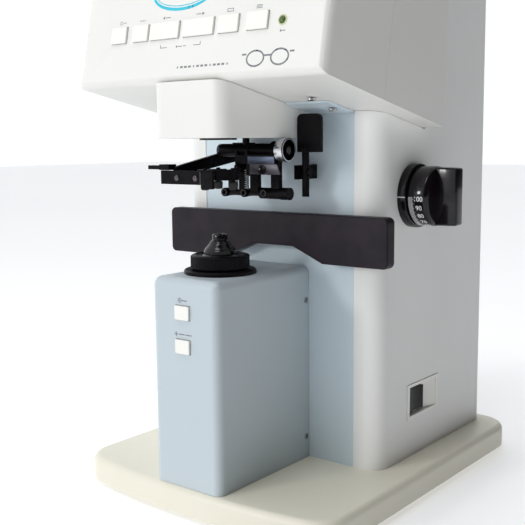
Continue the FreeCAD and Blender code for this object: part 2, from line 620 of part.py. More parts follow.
def gears():
    """Rack under the dial shaft; returns the blank of the pinion that meshes with it."""
    pitch = value("gear_module * %.9f" % math.pi)
    pitch_radius = value("gear_module * pinion_teeth / 2")
    module, width = value("gear_module"), value("rack_width")
    pitch_line = value("knob_z") - pitch_radius
    start, end = value("table_front + table_thickness"), value("table_front + table_thickness + rail_length")
    root, tip = pitch_line - 1.25 * module, pitch_line + module
    middle = value("knob_y")
    outline = [Vector(0, start, root - 7), Vector(0, start, root)]
    count = int((end - middle) / pitch)
    first = -int((middle - start - 25) / pitch)
    for i in range(first, count):
        y = middle + (i + 0.5) * pitch
        outline += [Vector(0, y - 0.36 * pitch, root), Vector(0, y - 0.13 * pitch, tip),
                    Vector(0, y + 0.13 * pitch, tip), Vector(0, y + 0.36 * pitch, root)]
    outline += [Vector(0, end, root), Vector(0, end, root - 7)]
    rack = doc.addObject("Part::Feature", "rack")
    rack.Shape = Part.Face(Part.makePolygon(outline + outline[:1])).extrude(Vector(width, 0, 0))
    place(rack, ("rack_x - rack_width / 2", 0, 0))
    part("rack", rack)
    points = []
    teeth = int(value("pinion_teeth"))
    step = 2 * math.pi / teeth
    for i in range(teeth):
        turn = i * step
        for radius, part_turn in ((pitch_radius - 1.25 * module, -0.36), (pitch_radius + module, -0.12),
                                  (pitch_radius + module, 0.12), (pitch_radius - 1.25 * module, 0.36)):
            angle = turn + part_turn * step
            points.append(Vector(0, radius * math.sin(angle), -radius * math.cos(angle)))
    wheel = doc.addObject("Part::Feature", "pinion_blank")
    wheel.Shape = Part.Face(Part.makePolygon(points + points[:1])).extrude(Vector(width, 0, 0))
    place(wheel, ("rack_x - rack_width / 2", "knob_y", "knob_z"))
    return wheel


def dial():
    wheel = gears()
    side, axis = "column_width / 2", ("knob_y", "knob_z")
    part("dial_ring", tube("dial_ring", "dial_ring_radius", "shaft_radius + running_clearance + 2",
                           "dial_ring_thickness", (side,) + axis, "x"))
    drum_x = "(column_width / 2 + dial_ring_thickness + 0.4)"
    drum = rod("drum", "drum_radius", "drum_length", (drum_x,) + axis, "x")
    grip = block("grip", ("grip_length", "grip_thickness", "2 * drum_radius - 1"),
                 (drum_x + " + drum_length - 0.01", "knob_y - grip_thickness / 2",
                  "knob_z - drum_radius + 0.5"))
    drill = rod("knob_bore", "shaft_radius", "12", (drum_x + " - 0.1",) + axis, "x")
    body = cut("knob_body", fuse("knob_blank", [drum, soften("grip_round", grip, "3", lambda e: True)]),
               [drill])
    part("table_knob", body)
    shaft = rod("dial_rod", "shaft_radius", drum_x + " + 11 - rack_x + 12", ("rack_x - 12",) + axis, "x")
    part("pinion_shaft", fuse("pinion_shaft", [shaft, wheel]))
    guide_bushes.append(tube("dial_bearing", "shaft_radius + 5", "shaft_radius + running_clearance", "12",
                             ("column_width / 2 - wall - 12",) + axis, "x"))
    part("guide_bushes", group("guide_bushes", guide_bushes))


def lens_holder():
    foot = "holder_bottom"
    hub = tube("hub_ring", "holder_hub_radius", "holder_bore", "holder_thickness", (0, 0, foot))
    lug = block("hub_lug", ("-(arm_x) - holder_hub_radius + arm_thickness / 2 + 3", "5", "4"),
                ("arm_x - arm_thickness / 2", "3.6", foot + " + 1.6"))
    pins = []
    for i in range(3):
        angle = "%d" % (13 + 120 * i)
        pins.append(rod("lens_pin_%d" % i, "pin_radius", "holder_bottom + holder_thickness + 1 - pin_bottom",
                        ("pin_circle * cos(%s)" % angle, "pin_circle * sin(%s)" % angle, "pin_bottom")))
    gap = block("hub_gap", ("9", "20", "40"), ("-4.5", "holder_bore - 3", foot + " - 10"))
    arm = padded("arm_body", "YZ_Plane", [
        ("-holder_hub_radius", foot + " - 2.8"), ("-4", foot + " + 0.2"), ("8", foot + " + 4.7"),
        ("holder_rod_y + 5", foot + " + 12.2"), ("holder_rod_y + 5", foot + " + 22.2"), ("-11",
                foot + " + 9.8"),
        ("-holder_hub_radius", foot + " + 8.7")], "arm_thickness", middle=True)
    bind(arm, ".Placement.Base.x", "arm_x")
    foot_block = block("rod_block", ("holder_rod_x - arm_x - arm_thickness / 2 + 5", "12", "12"),
                       ("arm_x + arm_thickness / 2", "holder_rod_y - 6", foot + " + 13.2"))
    part("holder_arm", cut("holder_arm", fuse("arm_joined", [arm, foot_block]), [
        rod("rod_seat", "slide_rod_radius", "14", ("holder_rod_x", "holder_rod_y", foot + " + 16.2"))]))
    holes = [rod("pin_seat_%d" % i, "pin_radius", "40", ("pin_circle * cos(%d)" % (13 + 120 * i),
                 "pin_circle * sin(%d)" % (13 + 120 * i), foot + " - 10")) for i in range(3)]
    part("pin_ring", cut("pin_ring", fuse("hub_joined", [cut("hub_open", hub, [gap]), cut("lug_open", lug, [
        rod("lug_bore", "holder_bore", "30", (0, 0, foot))])]), holes + [
            block("arm_face", ("arm_thickness + 5", "20", "30"), ("arm_x - arm_thickness / 2 - 5",
                    "-10", foot))]))
    part("lens_pins", group("lens_pins", pins))
    part("holder_rod", rod("holder_rod", "slide_rod_radius", "72", ("holder_rod_x", "holder_rod_y",
            foot + " + 16.2")))
    face = "-holder_hub_radius - 2.6"
    part("holder_front_plate", fuse("holder_front_plate", [
        block("front_plate", ("37.5", "2.5", "9.4"), ("-39", face, foot + " - 2.9")),
        block("front_foot", ("10.5", "2.5", "11.6"), ("-1.5", face, foot + " - 5.6"))]))
    part("finger_tab", fuse("finger_tab", [
        block("tab_block", ("9", "8", "4"), ("arm_x - arm_thickness / 2 - 9.1", "-19", foot + " + 6.8")),
        block("tab_blade", ("12", "6", "2.8"), ("-50.5", "-18", foot + " + 7.2"))]))


def marker():
    axis = ("barrel_y", "barrel_z")
    part("marker_carriage", fuse("marker_carriage", [
        rod("barrel", "barrel_radius", "55", ("-24",) + axis, "x"), rod("barrel_disc", "disc_radius",
                "7", ("30.9",) + axis, "x"),
        rod("marker_rod", "slide_rod_radius", "66", (0, "barrel_y", "barrel_z"))]))
    low = "barrel_z - marker_leg"
    loose = "barrel_radius + running_clearance"
    legs = [block("hub_block", ("11.5", "barrel_radius + 6.1", "9.5"), ("-5.5", "barrel_y - 6.1",
            "barrel_z - 9.5")),
            rod("right_eye", "barrel_radius + 1.6", "4", ("25",) + axis, "x"),
            block("upper_plate", ("24.3", "1.2", "6.4"), ("6", "barrel_y - 6.1", "barrel_z - 9.4")),
            block("lower_plate", ("26", "1.4", "7.6"), ("8", "barrel_y - 6.1", "barrel_z - 16.8")),
            block("side_bar", ("22", "4", "4"), ("-15.5", "barrel_y - 2", low + " + 12"))]
    for name, x, width, length in (("a", "-15.5", "6", "14"), ("b", "-5.5", "6", "21"), ("c", "4.8",
            "7", "22"),
                                   ("d", "23.5", "7", "27")):
        legs.append(block("leg_" + name, (width, "4", length), (x, "barrel_y - 2", low)))
    for name, x in (("c", "4.8"), ("d", "23.5")):
        legs.append(block("step_" + name, ("7", "5", "8"), (x, "barrel_y - 6", "barrel_z - 17")))
    legs += [rod("crossbar", "2.2", "pen_spacing * 2 + 4", ("-pen_spacing - 4", "barrel_y", low), "x"),
             rod("thick_bar", "3.9", "18", ("13.5", "barrel_y", low), "x"),
             rod("end_knob", "4.3", "7.5", ("31.4", "barrel_y", low), "x")]
    drills = [rod("eye_bore", loose, "80", ("-40",) + axis, "x"),
              block("rod_notch", ("7", "7", "6"), ("-3.5", "barrel_y - 7", "barrel_z - 3.2"))]
    pens = []
    for i in (-1, 0, 1):
        x = "%d * pen_spacing" % i
        pens.append(fuse("pen_%d" % (i + 1), [
            rod("pen_holder_%d" % (i + 1), "pen_radius", "pen_length - 4", (x, "barrel_y - 2", low), "y"),
            cone("pen_tip_%d" % (i + 1), "pen_radius - 0.8", "0.7", "6", (x,
                    "barrel_y + pen_length - 6", low), "y")]))
        drills.append(rod("pen_seat_%d" % (i + 1), "pen_radius", "pen_length", (x, "barrel_y - 2", low), "y"))
    part("marker_pens", group("marker_pens", pens))
    part("marker_frame", cut("marker_frame", fuse("marker_joined", legs), drills))


def lever():
    axis = ("lever_y", "lever_z")
    stem = rod("lever_stem", "lever_rod_radius", "thumb_rise + 17 + 4", ("lever_x", "lever_y",
            "lever_z - 17"))
    part("lever_rod", cut("lever_rod", stem, [
        rod("pivot_bore", "1.5 + running_clearance", "12", ("lever_x - 6",) + axis, "x"),
        block("plate_slot", ("12", "3", "thumb_height"), ("lever_x - 6", "lever_y - 1.5",
                "lever_z + thumb_rise"))]))
    plate = block("thumb_blank", ("thumb_width", "3", "thumb_height"),
                  ("lever_x - 6.5", "lever_y - 1.5", "lever_z + thumb_rise"))
    top = value("lever_z + thumb_rise + thumb_height")
    part("thumb_plate", soften("thumb_plate", plate, "4", lambda e: along(e,
            Y) and e.CenterOfMass.z > top - 1))
    pin_x = "lever_x - lever_rod_radius - 2"
    pin = fuse("lever_screw", [rod("lever_pin", "1.5", "2 * lever_rod_radius + 4", (pin_x,) + axis, "x"),
                               rod("lever_screw_head", "2.8", "1.6",
                                   ("lever_x + lever_rod_radius + 0.4",) + axis, "x")])
    ear = ("lever_x - lever_rod_radius - 4.5", "lever_y - 4", "lever_z - 5")
    stay = block("lever_stay", ("4", "column_front + 0.5 - lever_y + 4", "10"), ear)
    part("lever_bracket", fuse("lever_bracket", [stay, pin]))


def switch():
    side, floor = "column_width / 2", "(column_width / 2 - switch_recess)"
    low, start = "switch_z - switch_height / 2", "switch_y - switch_length / 2"
    tray = block("tray_blank", ("switch_recess + 2 + 0.6", "switch_length + ramp_length + 7.6",
                                "switch_height + 5.6"),
                 (floor + " - 2", start + " - 3.8", low + " - 2.8"))
    hollow = [block("tray_hollow", ("switch_recess + 1", "switch_length + 1", "switch_height + 1"),
                    (floor, start + " - 0.5", low + " - 0.5")),
              block("tray_hole", ("10", "switch_length - 2", "switch_height - 2"), (floor + " - 5",
                      start + " + 1", low + " + 1"))]
    ramp = padded("ramp_body", "XY_Plane", [
        (floor, start + " + switch_length - 2"), (side + " + 1", start + " + switch_length - 2"),
        (side + " + 1", start + " + switch_length + ramp_length"), (side,
                start + " + switch_length + ramp_length"),
        (floor, start + " + switch_length")], "switch_height + 1")
    bind(ramp, ".Placement.Base.z", low + " - 0.5")
    part("switch_recess", cut("switch_recess", tray, hollow + [ramp]))
    case = block("switch_case", ("21", "switch_length - 0.6", "switch_height - 0.6"),
                 (floor + " - 23.02", start + " + 0.3", low + " + 0.3"))
    part("switch_body", cut("switch_body", case, [
        block("switch_pocket", ("4", "switch_length - 2", "switch_height - 2"), (floor + " - 4.4",
                start + " + 1", low + " + 1"))]))
    rocker = padded("rocker_body", "XY_Plane", [
        (floor + " - 2", start + " + 2"), (floor + " - 2", start + " + switch_length - 2"),
        (floor + " + 3", start + " + switch_length - 1"), (floor + " + 1.2",
                "switch_y"), (floor + " + 3", start + " + 1")],
        "switch_height - 3")
    bind(rocker, ".Placement.Base.z", low + " + 1.5")
    pivot = rod("rocker_pivot", "1.8", "switch_height - 3", (floor + " - 1.5", "switch_y", low + " + 1.5"))
    part("power_rocker", fuse("power_rocker", [rocker, pivot]))


def inlet():
    y, x, z = "column_back - 24", "-63.5", "55"
    shell = block("inlet_blank", ("27", "25.5", "20"), (x, y, z))
    socket = block("inlet_hollow", ("22", "18", "15"), (x + " + 2.5", y + " + 8", z + " + 2.5"))
    flange = block("inlet_flange", ("40", "2", "28"), (x + " - 6.5", "column_back", z + " - 4"))
    flange_hole = block("inlet_mouth", ("22", "4", "15"), (x + " + 2.5", "column_back - 1", z + " + 2.5"))
    body = cut("inlet_body", fuse("inlet_joined", [shell, flange]), [socket, flange_hole])
    blades = [block("blade_%d" % i, ("2", "14", "6"), ("-51 + %d" % (i * 7 - 7), y + " + 7",
                                                       "%d" % (61 + 3 * (i == 1))))
              for i in range(3)]
    part("power_inlet", fuse("power_inlet", [body] + blades))


def electronics():
    part("power_supply", block("supply", ("70", "60", "34"), ("-24", "column_front + 62", BASE_TOP)))
    part("circuit_boards", group("circuit_boards", [
        block("main_board", ("130", "1.6", "150"), ("-65", "column_back - 22", "150")),
        block("sensor_board", ("44", "44", "1.6"), ("-22", "-22", "58")),
        head_block("key_board", ("160", "1.6", "20"), "-84", "key_depth + 1.2", "25")]))
    part("light_unit", fuse("light_unit", [tube("collimator", "12", "9", "26", (0, 0, "neck_bottom + 3.2")),
                                           rod("lamp_house", "12", "18", (0, 0, "neck_bottom + 29.2"))]))
    part("sensor_tube", tube("sensor_tube", "13", "10", "80", (0, 0, "59.6")))
    part("printer_unit", block("printer", ("90", "44", "26"), ("wall + seat - head_width / 2", "72",
            BACK_TOP + " - 62")))
    part("paper_roll", rod("paper", "13", "58", ("-79", "94", BACK_TOP + " - 22.7"), "x"))


def printer_lid():
    rise = "(head_top_drop / (head_back + head_back_lean - %s))" % HEAD_TOP_Y
    def top(y):
        return "(%s + (head_back + head_back_lean - (%s)) * %s)" % (BACK_TOP, y, rise)
    front, back, hinge = (SEAM_TOP_Y + reach for reach in (" + 4.1", " + 55.3", " + 53.6"))
    lid = padded("lid_body", "YZ_Plane", [
        (front, top(front) + " - 2.6"), (back, top(back) + " - 2.6"), (back, top(back)), (front,
                top(front))], "83.2")
    bind(lid, ".Placement.Base.x", "-91.6")
    knuckle = rod("lid_knuckle", "1.9", "83.2", ("-91.6", hinge, top(hinge) + " - 1.9"), "x")
    part("printer_lid", fuse("printer_lid", [lid, knuckle]))


def check_and_export():
    doc.recompute()
    for item in doc.Objects:
        if "Invalid" in item.State or "Error" in item.State:
            raise RuntimeError("%s did not build: %s" % (item.Label, item.State))
    for item in parts:
        if item.Shape.isNull() or not item.Shape.isValid():
            raise RuntimeError("%s has no valid shape" % item.Label)
    os.makedirs("parts", exist_ok=True)
    for item in parts:
        item.Shape.exportStep("parts/%s.step" % item.Label)


fill_sheet()
for build in (base, column, tower, head, neck, nose, table, dial, lens_holder, marker, lever, switch, inlet,
              electronics, printer_lid):
    build()
check_and_export()
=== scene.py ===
"""Auto lensmeter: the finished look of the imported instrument, in metres, in the CAD frame."""
import json
import math
import bpy
import bmesh
from mathutils import Matrix, Vector


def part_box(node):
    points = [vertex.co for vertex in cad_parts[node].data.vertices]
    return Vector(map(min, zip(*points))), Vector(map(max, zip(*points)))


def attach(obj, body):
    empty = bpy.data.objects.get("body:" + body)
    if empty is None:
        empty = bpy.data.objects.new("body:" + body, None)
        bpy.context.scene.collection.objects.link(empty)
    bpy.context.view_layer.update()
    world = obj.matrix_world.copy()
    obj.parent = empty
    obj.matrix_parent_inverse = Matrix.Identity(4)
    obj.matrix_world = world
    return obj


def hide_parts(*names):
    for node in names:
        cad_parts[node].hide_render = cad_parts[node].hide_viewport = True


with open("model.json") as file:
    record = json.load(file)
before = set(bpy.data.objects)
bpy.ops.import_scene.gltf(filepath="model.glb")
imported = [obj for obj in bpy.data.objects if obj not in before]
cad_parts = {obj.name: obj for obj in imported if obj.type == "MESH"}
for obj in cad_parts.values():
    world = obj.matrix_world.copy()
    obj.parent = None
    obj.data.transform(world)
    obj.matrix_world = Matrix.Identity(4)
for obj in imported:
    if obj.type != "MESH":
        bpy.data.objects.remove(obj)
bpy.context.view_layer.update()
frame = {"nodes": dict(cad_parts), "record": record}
MM = 0.001
X, Y, Z = Vector((1, 0, 0)), Vector((0, 1, 0)), Vector((0, 0, 1))
HEAD_TILT = math.radians(11.5)
SCREW_SIDES = 28

# The camera, in metres and radians (yaw, dip, roll); lens and sensor in millimetres.
EYE = (0.4119, -0.4708, 0.2584)
EYE_TURN = tuple(math.radians(angle) for angle in (38.48, 7.69, 0.56))
LENS, SENSOR = 61.97, 36

# The light: each lamp's name, place, aim, size in metres and power in watts.
LIGHTS = (("key_light", (-0.78, -1.85, 0.72), (0, 0, 0.22), 0.3, 9.5),
          ("top_light", (0.1, -0.8, 2.0), (0, 0.05, 0.2), 0.8, 11))
SKY_COLOUR, BRIGHT_SIDE = (0.965, 0.98, 1.0), (-1, 0, 0.1)
SKY_SLOPES, SKY_STRENGTHS = (-0.35, 0.30), (0.02, 1.04)
FLOOR_GLOW = 0.36


# ---------- materials ----------

class Finish:
    """A node material with the textures that its surface needs."""

    def __init__(self, name, rough, metallic=0.0, **sockets):
        self.mat = bpy.data.materials.new(name)
        self.mat.use_nodes = True
        self.nodes = self.mat.node_tree.nodes
        self.links = self.mat.node_tree.links
        self.shader = self.nodes["Principled BSDF"]
        self.shader.inputs["Roughness"].default_value = rough
        self.shader.inputs["Metallic"].default_value = metallic
        for socket, amount in sockets.items():
            self.shader.inputs[socket.replace("_", " ")].default_value = amount
        self.place = self.nodes.new("ShaderNodeTexCoord").outputs["Object"]

    def noise(self, size, detail=3.0, stretch=(1, 1, 1), distort=0.0):
        """Noise whose features are about size metres across."""
        mapping = self.nodes.new("ShaderNodeMapping")
        mapping.inputs["Scale"].default_value = stretch
        texture = self.nodes.new("ShaderNodeTexNoise")
        texture.inputs["Scale"].default_value = 1 / size
        texture.inputs["Detail"].default_value = detail
        texture.inputs["Distortion"].default_value = distort
        self.links.new(self.place, mapping.inputs["Vector"])
        self.links.new(mapping.outputs["Vector"], texture.inputs["Vector"])
        return texture.outputs["Fac"]

    def colour(self, factor, *stops):
        """Colour ramp from (position, colour) stops into the base colour."""
        ramp = self.nodes.new("ShaderNodeValToRGB")
        points = ramp.color_ramp.elements
        while len(points) < len(stops):
            points.new(0.5)
        for point, (position, tint) in zip(points, stops):
            point.position = position
            point.color = (*tint, 1)
        self.links.new(factor, ramp.inputs["Fac"])
        self.links.new(ramp.outputs["Color"], self.shader.inputs["Base Color"])
        return ramp.outputs["Color"]

    def gloss(self, factor, low, high):
        """Roughness that wanders between two values."""
        spread = self.nodes.new("ShaderNodeMapRange")
        spread.inputs["From Min"].default_value = 0.3
        spread.inputs["From Max"].default_value = 0.7
        spread.inputs["To Min"].default_value = low
        spread.inputs["To Max"].default_value = high
        self.links.new(factor, spread.inputs["Value"])
        self.links.new(spread.outputs["Result"], self.shader.inputs["Roughness"])

    def relief(self, factor, depth, strength=0.5):
        """Fine bump, depth in metres."""
        bump = self.nodes.new("ShaderNodeBump")
        bump.inputs["Distance"].default_value = depth
        bump.inputs["Strength"].default_value = strength
        self.links.new(factor, bump.inputs["Height"])
        self.links.new(bump.outputs["Normal"], self.shader.inputs["Normal"])


def moulded(name, light, dark, rough=0.42, grain=0.0011, depth=0.00004):
    """Moulded plastic: slow drift in tone, fine spark-eroded grain."""
    finish = Finish(name, rough, IOR=1.5)
    drift = finish.noise(0.09, 4)
    finish.colour(drift, (0.3, dark), (0.7, light))
    finish.gloss(finish.noise(0.012, 2), rough - 0.05, rough + 0.07)
    finish.relief(finish.noise(grain, 2), depth, 0.35)
    return finish.mat


def sprayed(name, light, dark, rough=0.38):
    """Sprayed sheet or die casting with a slight orange peel."""
    finish = Finish(name, rough, IOR=1.48)
    finish.colour(finish.noise(0.12, 3), (0.3, dark), (0.7, light))
    finish.gloss(finish.noise(0.02, 3), rough - 0.06, rough + 0.08)
    finish.relief(finish.noise(0.0022, 1), 0.00005, 0.4)
    return finish.mat


def anodised(name, tone=0.004, rough=0.34):
    """Black anodised or blackened metal, with a purplish cast and rubbed patches."""
    finish = Finish(name, rough, metallic=0.05, IOR=1.18)
    finish.colour(finish.noise(0.008, 4), (0.35, (tone * 0.8, tone * 0.66, tone * 0.85)),
                  (0.75, (tone * 1.6, tone * 1.3, tone * 1.7)))
    finish.gloss(finish.noise(0.004, 3), rough - 0.08, rough + 0.12)
    finish.relief(finish.noise(0.0005, 2), 0.00002, 0.4)
    return finish.mat


def black_plastic(name, tone=0.012, rough=0.22, coat=0.0):
    finish = Finish(name, rough, IOR=1.24, Coat_Weight=coat, Coat_Roughness=0.08)
    finish.colour(finish.noise(0.02, 3), (0.3, (tone * 0.82, tone * 0.62, tone * 0.86)),
                  (0.7, (tone * 1.32, tone, tone * 1.38)))
    finish.gloss(finish.noise(0.006, 4, distort=0.4), rough - 0.04, rough + 0.1)
    finish.relief(finish.noise(0.0012, 2), 0.00002, 0.25)
    return finish.mat


def machined(name, tint, rough=0.28, stretch=(1, 14, 14)):
    """Bare metal with cutting marks across one axis."""
    finish = Finish(name, rough, metallic=1.0)
    marks = finish.noise(0.004, 5, stretch)
    dark = tuple(c * 0.72 for c in tint)
    finish.colour(marks, (0.3, dark), (0.7, tint))
    finish.gloss(marks, rough - 0.08, rough + 0.14)
    finish.relief(marks, 0.00002, 0.3)
    return finish.mat


def clear_glass(name, tint=(0.93, 0.97, 0.96)):
    finish = Finish(name, 0.02, IOR=1.5, Transmission_Weight=1.0)
    finish.colour(finish.noise(0.03, 2), (0.3, tint), (0.7, tuple(c * 0.97 for c in tint)))
    finish.gloss(finish.noise(0.01, 4), 0.01, 0.05)
    return finish.mat


def glowing(name, tint, strength):
    finish = Finish(name, 0.25, IOR=1.45)
    made = finish.colour(finish.noise(0.002, 2), (0.3, tint), (0.8, tuple(min(1, c * 1.4) for c in tint)))
    finish.links.new(made, finish.shader.inputs["Emission Color"])
    finish.shader.inputs["Emission Strength"].default_value = strength
    return finish.mat


def printed(name, tint):
    """Screen-printing ink."""
    finish = Finish(name, 0.5)
    finish.colour(finish.noise(0.0012, 3), (0.3, tint), (0.7, tuple(min(1, c * 1.25) for c in tint)))
    finish.relief(finish.noise(0.0006, 2), 0.00001, 0.3)
    return finish.mat


CREAM = moulded("cream_moulding", (0.80, 0.77, 0.655), (0.765, 0.735, 0.615), 0.40)
WHITE = moulded("white_moulding", (0.80, 0.795, 0.765), (0.775, 0.77, 0.74), 0.42)
COLUMN = moulded("column_moulding", (0.85, 0.85, 0.835), (0.825, 0.825, 0.81), 0.45)
BLUE_GREY = sprayed("blue_grey_paint", (0.525, 0.595, 0.635), (0.495, 0.565, 0.605))
PANEL = sprayed("panel_paint", (0.64, 0.74, 0.80), (0.61, 0.71, 0.77), 0.34)
KEYS = moulded("key_moulding", (0.88, 0.87, 0.83), (0.85, 0.84, 0.80), 0.36)
ANODISED = anodised("black_anodising")
BLACKENED = anodised("blackened_steel", 0.0035, 0.30)
SATIN_BLACK = black_plastic("satin_black_bar", 0.020, 0.42)
THUMB_BLACK = black_plastic("thumb_black", 0.004, 0.34)
GLOSS_BLACK = black_plastic("gloss_black_knob", 0.006, 0.16, 0.4)
NOSE_BLACK = black_plastic("nosepiece_black", 0.005, 0.20, 0.4)
DEEP_BLACK = black_plastic("switch_black", 0.006, 0.24)
STEEL = machined("ground_steel", (0.62, 0.62, 0.63))
SCREW_STEEL = machined("screw_steel", (0.72, 0.71, 0.69), 0.22, (6, 6, 6))
ALUMINIUM = machined("turned_aluminium", (0.74, 0.75, 0.78), 0.26)
BLUED = machined("blued_strip", (0.10, 0.12, 0.17), 0.34, (3, 20, 20))
SMOKED = machined("smoked_steel", (0.15, 0.135, 0.14), 0.36, (5, 5, 5))
BRUSHED = machined("brushed_plate", (0.075, 0.07, 0.08), 0.36, (3, 30, 30))
BRASS = machined("bush_brass", (0.78, 0.60, 0.30), 0.28)
RUBBER = moulded("foot_rubber", (0.035, 0.034, 0.034), (0.022, 0.022, 0.022), 0.75, 0.0008, 0.00006)
GLASS = clear_glass("optical_glass")
WINDOW = clear_glass("window_glass", (0.78, 0.82, 0.82))
BOARD = sprayed("circuit_board", (0.03, 0.22, 0.09), (0.02, 0.17, 0.07), 0.4)
PAPER = moulded("thermal_paper", (0.88, 0.87, 0.84), (0.84, 0.83, 0.80), 0.7, 0.0004, 0.00002)
GREY_INK = printed("grey_ink", (0.16, 0.17, 0.19))
TEAL_INK = printed("teal_ink", (0.02, 0.46, 0.60))
WHITE_INK = printed("white_ink", (0.80, 0.79, 0.80))
LCD_GLASS = glowing("display_ground", (0.10, 0.17, 0.13), 0.25)
LCD_INK = printed("display_segments", (0.015, 0.03, 0.025))
LAMP_GREEN = glowing("lamp_green", (0.055, 0.10, 0.02), 0.1)
LAMP_RIM = moulded("lamp_rim", (0.62, 0.66, 0.42), (0.56, 0.60, 0.36), 0.4)


# ---------- mesh helpers ----------

def piece(name, mesh_or_bm, material, body, replaces=(), smooth_angle=35):
    """Turn a mesh into a finished piece that rides on a body."""
    if isinstance(mesh_or_bm, bmesh.types.BMesh):
        mesh = bpy.data.meshes.new(name)
        mesh_or_bm.to_mesh(mesh)
        mesh_or_bm.free()
    else:
        mesh = mesh_or_bm
        mesh.name = name
    item = bpy.data.objects.new(name, mesh)
    bpy.context.scene.collection.objects.link(item)
    if not mesh.materials:
        mesh.materials.append(material)
    mesh.shade_smooth()
    mesh.set_sharp_from_angle(angle=math.radians(smooth_angle))
    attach(item, body)
    if replaces:
        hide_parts(*replaces)
    return item


def body_of(node):
    for body, nodes in frame["record"]["behaviour"]["bodies"].items():
        if node in nodes:
            return body


def stand_in(name, mesh_or_bm, material, node, smooth_angle=35):
    """Finished piece that takes the place and the body of one CAD node, in the finish that it is given."""
    return piece(name, mesh_or_bm, material, body_of(node), [node], smooth_angle)


def merged(node):
    """Copy of a CAD node's mesh with its corners joined and its flat faces whole."""
    bm = bmesh.new()
    bm.from_mesh(frame["nodes"][node].data)
    bmesh.ops.remove_doubles(bm, verts=bm.verts, dist=0.000004)
    bmesh.ops.dissolve_limit(bm, angle_limit=math.radians(0.6), verts=bm.verts, edges=bm.edges)
    return bm


def round_sides(bm, radius):
    """Round the long lower and upper edges of a cover's two cheeks."""
    side = max(v.co.x for v in bm.verts)
    long_edges = [e for e in bm.edges if all(abs(abs(v.co.x) - side) < 1e-5 for v in e.verts)
                  and len(e.link_faces) == 2 and e.calc_face_angle(0) > 0.8
                  and abs(e.verts[0].co.y - e.verts[1].co.y) > abs(e.verts[0].co.z - e.verts[1].co.z)]
    bmesh.ops.bevel(bm, geom=long_edges, offset=radius, segments=6, affect="EDGES", profile=0.5,
                    clamp_overlap=True)


def eased(node, width, material, angle=32, segments=2):
    """CAD shape with its sharp edges broken; stands for its node."""
    bm = merged(node)
    if node.startswith("head_"):
        round_sides(bm, 5 * MM)
    limit = math.radians(angle)
    edges = [e for e in bm.edges if len(e.link_faces) == 2 and e.calc_face_angle(0) > limit]
    if edges:
        bmesh.ops.bevel(bm, geom=edges, offset=width, segments=segments, affect="EDGES", profile=0.5,
                        clamp_overlap=True)
    bmesh.ops.recalc_face_normals(bm, faces=bm.faces)
    bmesh.ops.triangulate(bm, faces=[f for f in bm.faces if len(f.verts) > 4])
    item = stand_in(node + "_finished", bm, material, node, 40)
    flat = item.modifiers.new("flat_faces", "WEIGHTED_NORMAL")
    flat.keep_sharp = True
    return item


def dress(material, *nodes):
    """Give carried-over CAD nodes their finish."""
    for node in nodes:
        mesh = frame["nodes"][node].data
        if not mesh.materials:
            mesh.materials.append(material)
        for i in range(len(mesh.materials)):
            mesh.materials[i] = material


def axes(origin, along, up):
    """Matrix whose Z points along and whose Y leans to up."""
    z = along.normalized()
    x = up.cross(z).normalized()
    y = z.cross(x)
    turn = Matrix((x, y, z)).transposed().to_4x4()
    return Matrix.Translation(origin) @ turn


def mm(*points):
    """Profile points written in millimetres, in metres."""
    return [(radius * MM, height * MM) for radius, height in points]


def lathe(profile, place, steps=96, closed=False):
    """Spin (radius, height) points about the local Z of place."""
    bm = bmesh.new()
    turns = [2 * math.pi * i / steps for i in range(steps)]
    rings = []
    for radius, height in profile:
        if radius < 1e-7:
            rings.append([bm.verts.new((0, 0, height))])
            continue
        rings.append([bm.verts.new((radius * math.cos(t), radius * math.sin(t), height)) for t in turns])
    pairs = list(zip(rings, rings[1:])) + ([(rings[-1], rings[0])] if closed else [])
    for low, high in pairs:
        for i in range(steps):
            j = (i + 1) % steps
            quad = [low[i % len(low)], low[j % len(low)], high[j % len(high)], high[i % len(high)]]
            unique = list(dict.fromkeys(quad))
            if len(unique) > 2:
                bm.faces.new(unique)
    bmesh.ops.recalc_face_normals(bm, faces=bm.faces)
    bm.transform(place)
    return bm


def rounded_box(low, high, radius, segments=3):
    low, high = Vector(low), Vector(high)
    bm = bmesh.new()
    bmesh.ops.create_cube(bm, size=1)
    size, middle = high - low, (high + low) / 2
    bm.transform(Matrix.Translation(middle) @ Matrix.Diagonal((*size, 1)))
    bmesh.ops.bevel(bm, geom=list(bm.edges), offset=radius, segments=segments, affect="EDGES", profile=0.5)
    return bm


def join(target, *others):
    """Add meshes to a bmesh."""
    for other in others:
        mesh = bpy.data.meshes.new("join")
        other.to_mesh(mesh)
        target.from_mesh(mesh)
        bpy.data.meshes.remove(mesh)
        other.free()
    return target


def corners(node):
    low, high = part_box(node)
    return Vector(low), Vector(high)


# ---------- the head's leaning face ----------

KEY_PROUD, KEY_RISE, KEY_HEIGHT = 1.6 * MM, 29.6 * MM, 11.2 * MM
key_low, key_high = corners("key_left")
lean = Vector((0, math.sin(HEAD_TILT), math.cos(HEAD_TILT)))
inward = Vector((0, math.cos(HEAD_TILT), -math.sin(HEAD_TILT)))
HEAD_EDGE = Vector((0, key_low.y + KEY_PROUD * inward.y - KEY_RISE * lean.y,
                    key_high.z - KEY_PROUD * math.sin(HEAD_TILT) - (KEY_RISE + KEY_HEIGHT) * lean.z))


def face_place(across, rise, out=0.0):
    """Matrix on the head's face: X across, Y up the face, Z outward; arguments in metres."""
    middle = HEAD_EDGE + X * across + lean * rise - inward * out
    return Matrix.Translation(middle) @ Matrix((X, lean, -inward)).transposed().to_4x4()


def front_place(across, height, y):
    """Matrix on a plane that faces the operator."""
    return Matrix.Translation((across, y, height)) @ Matrix((X, Z, -Y)).transposed().to_4x4()


# ---------- printing ----------

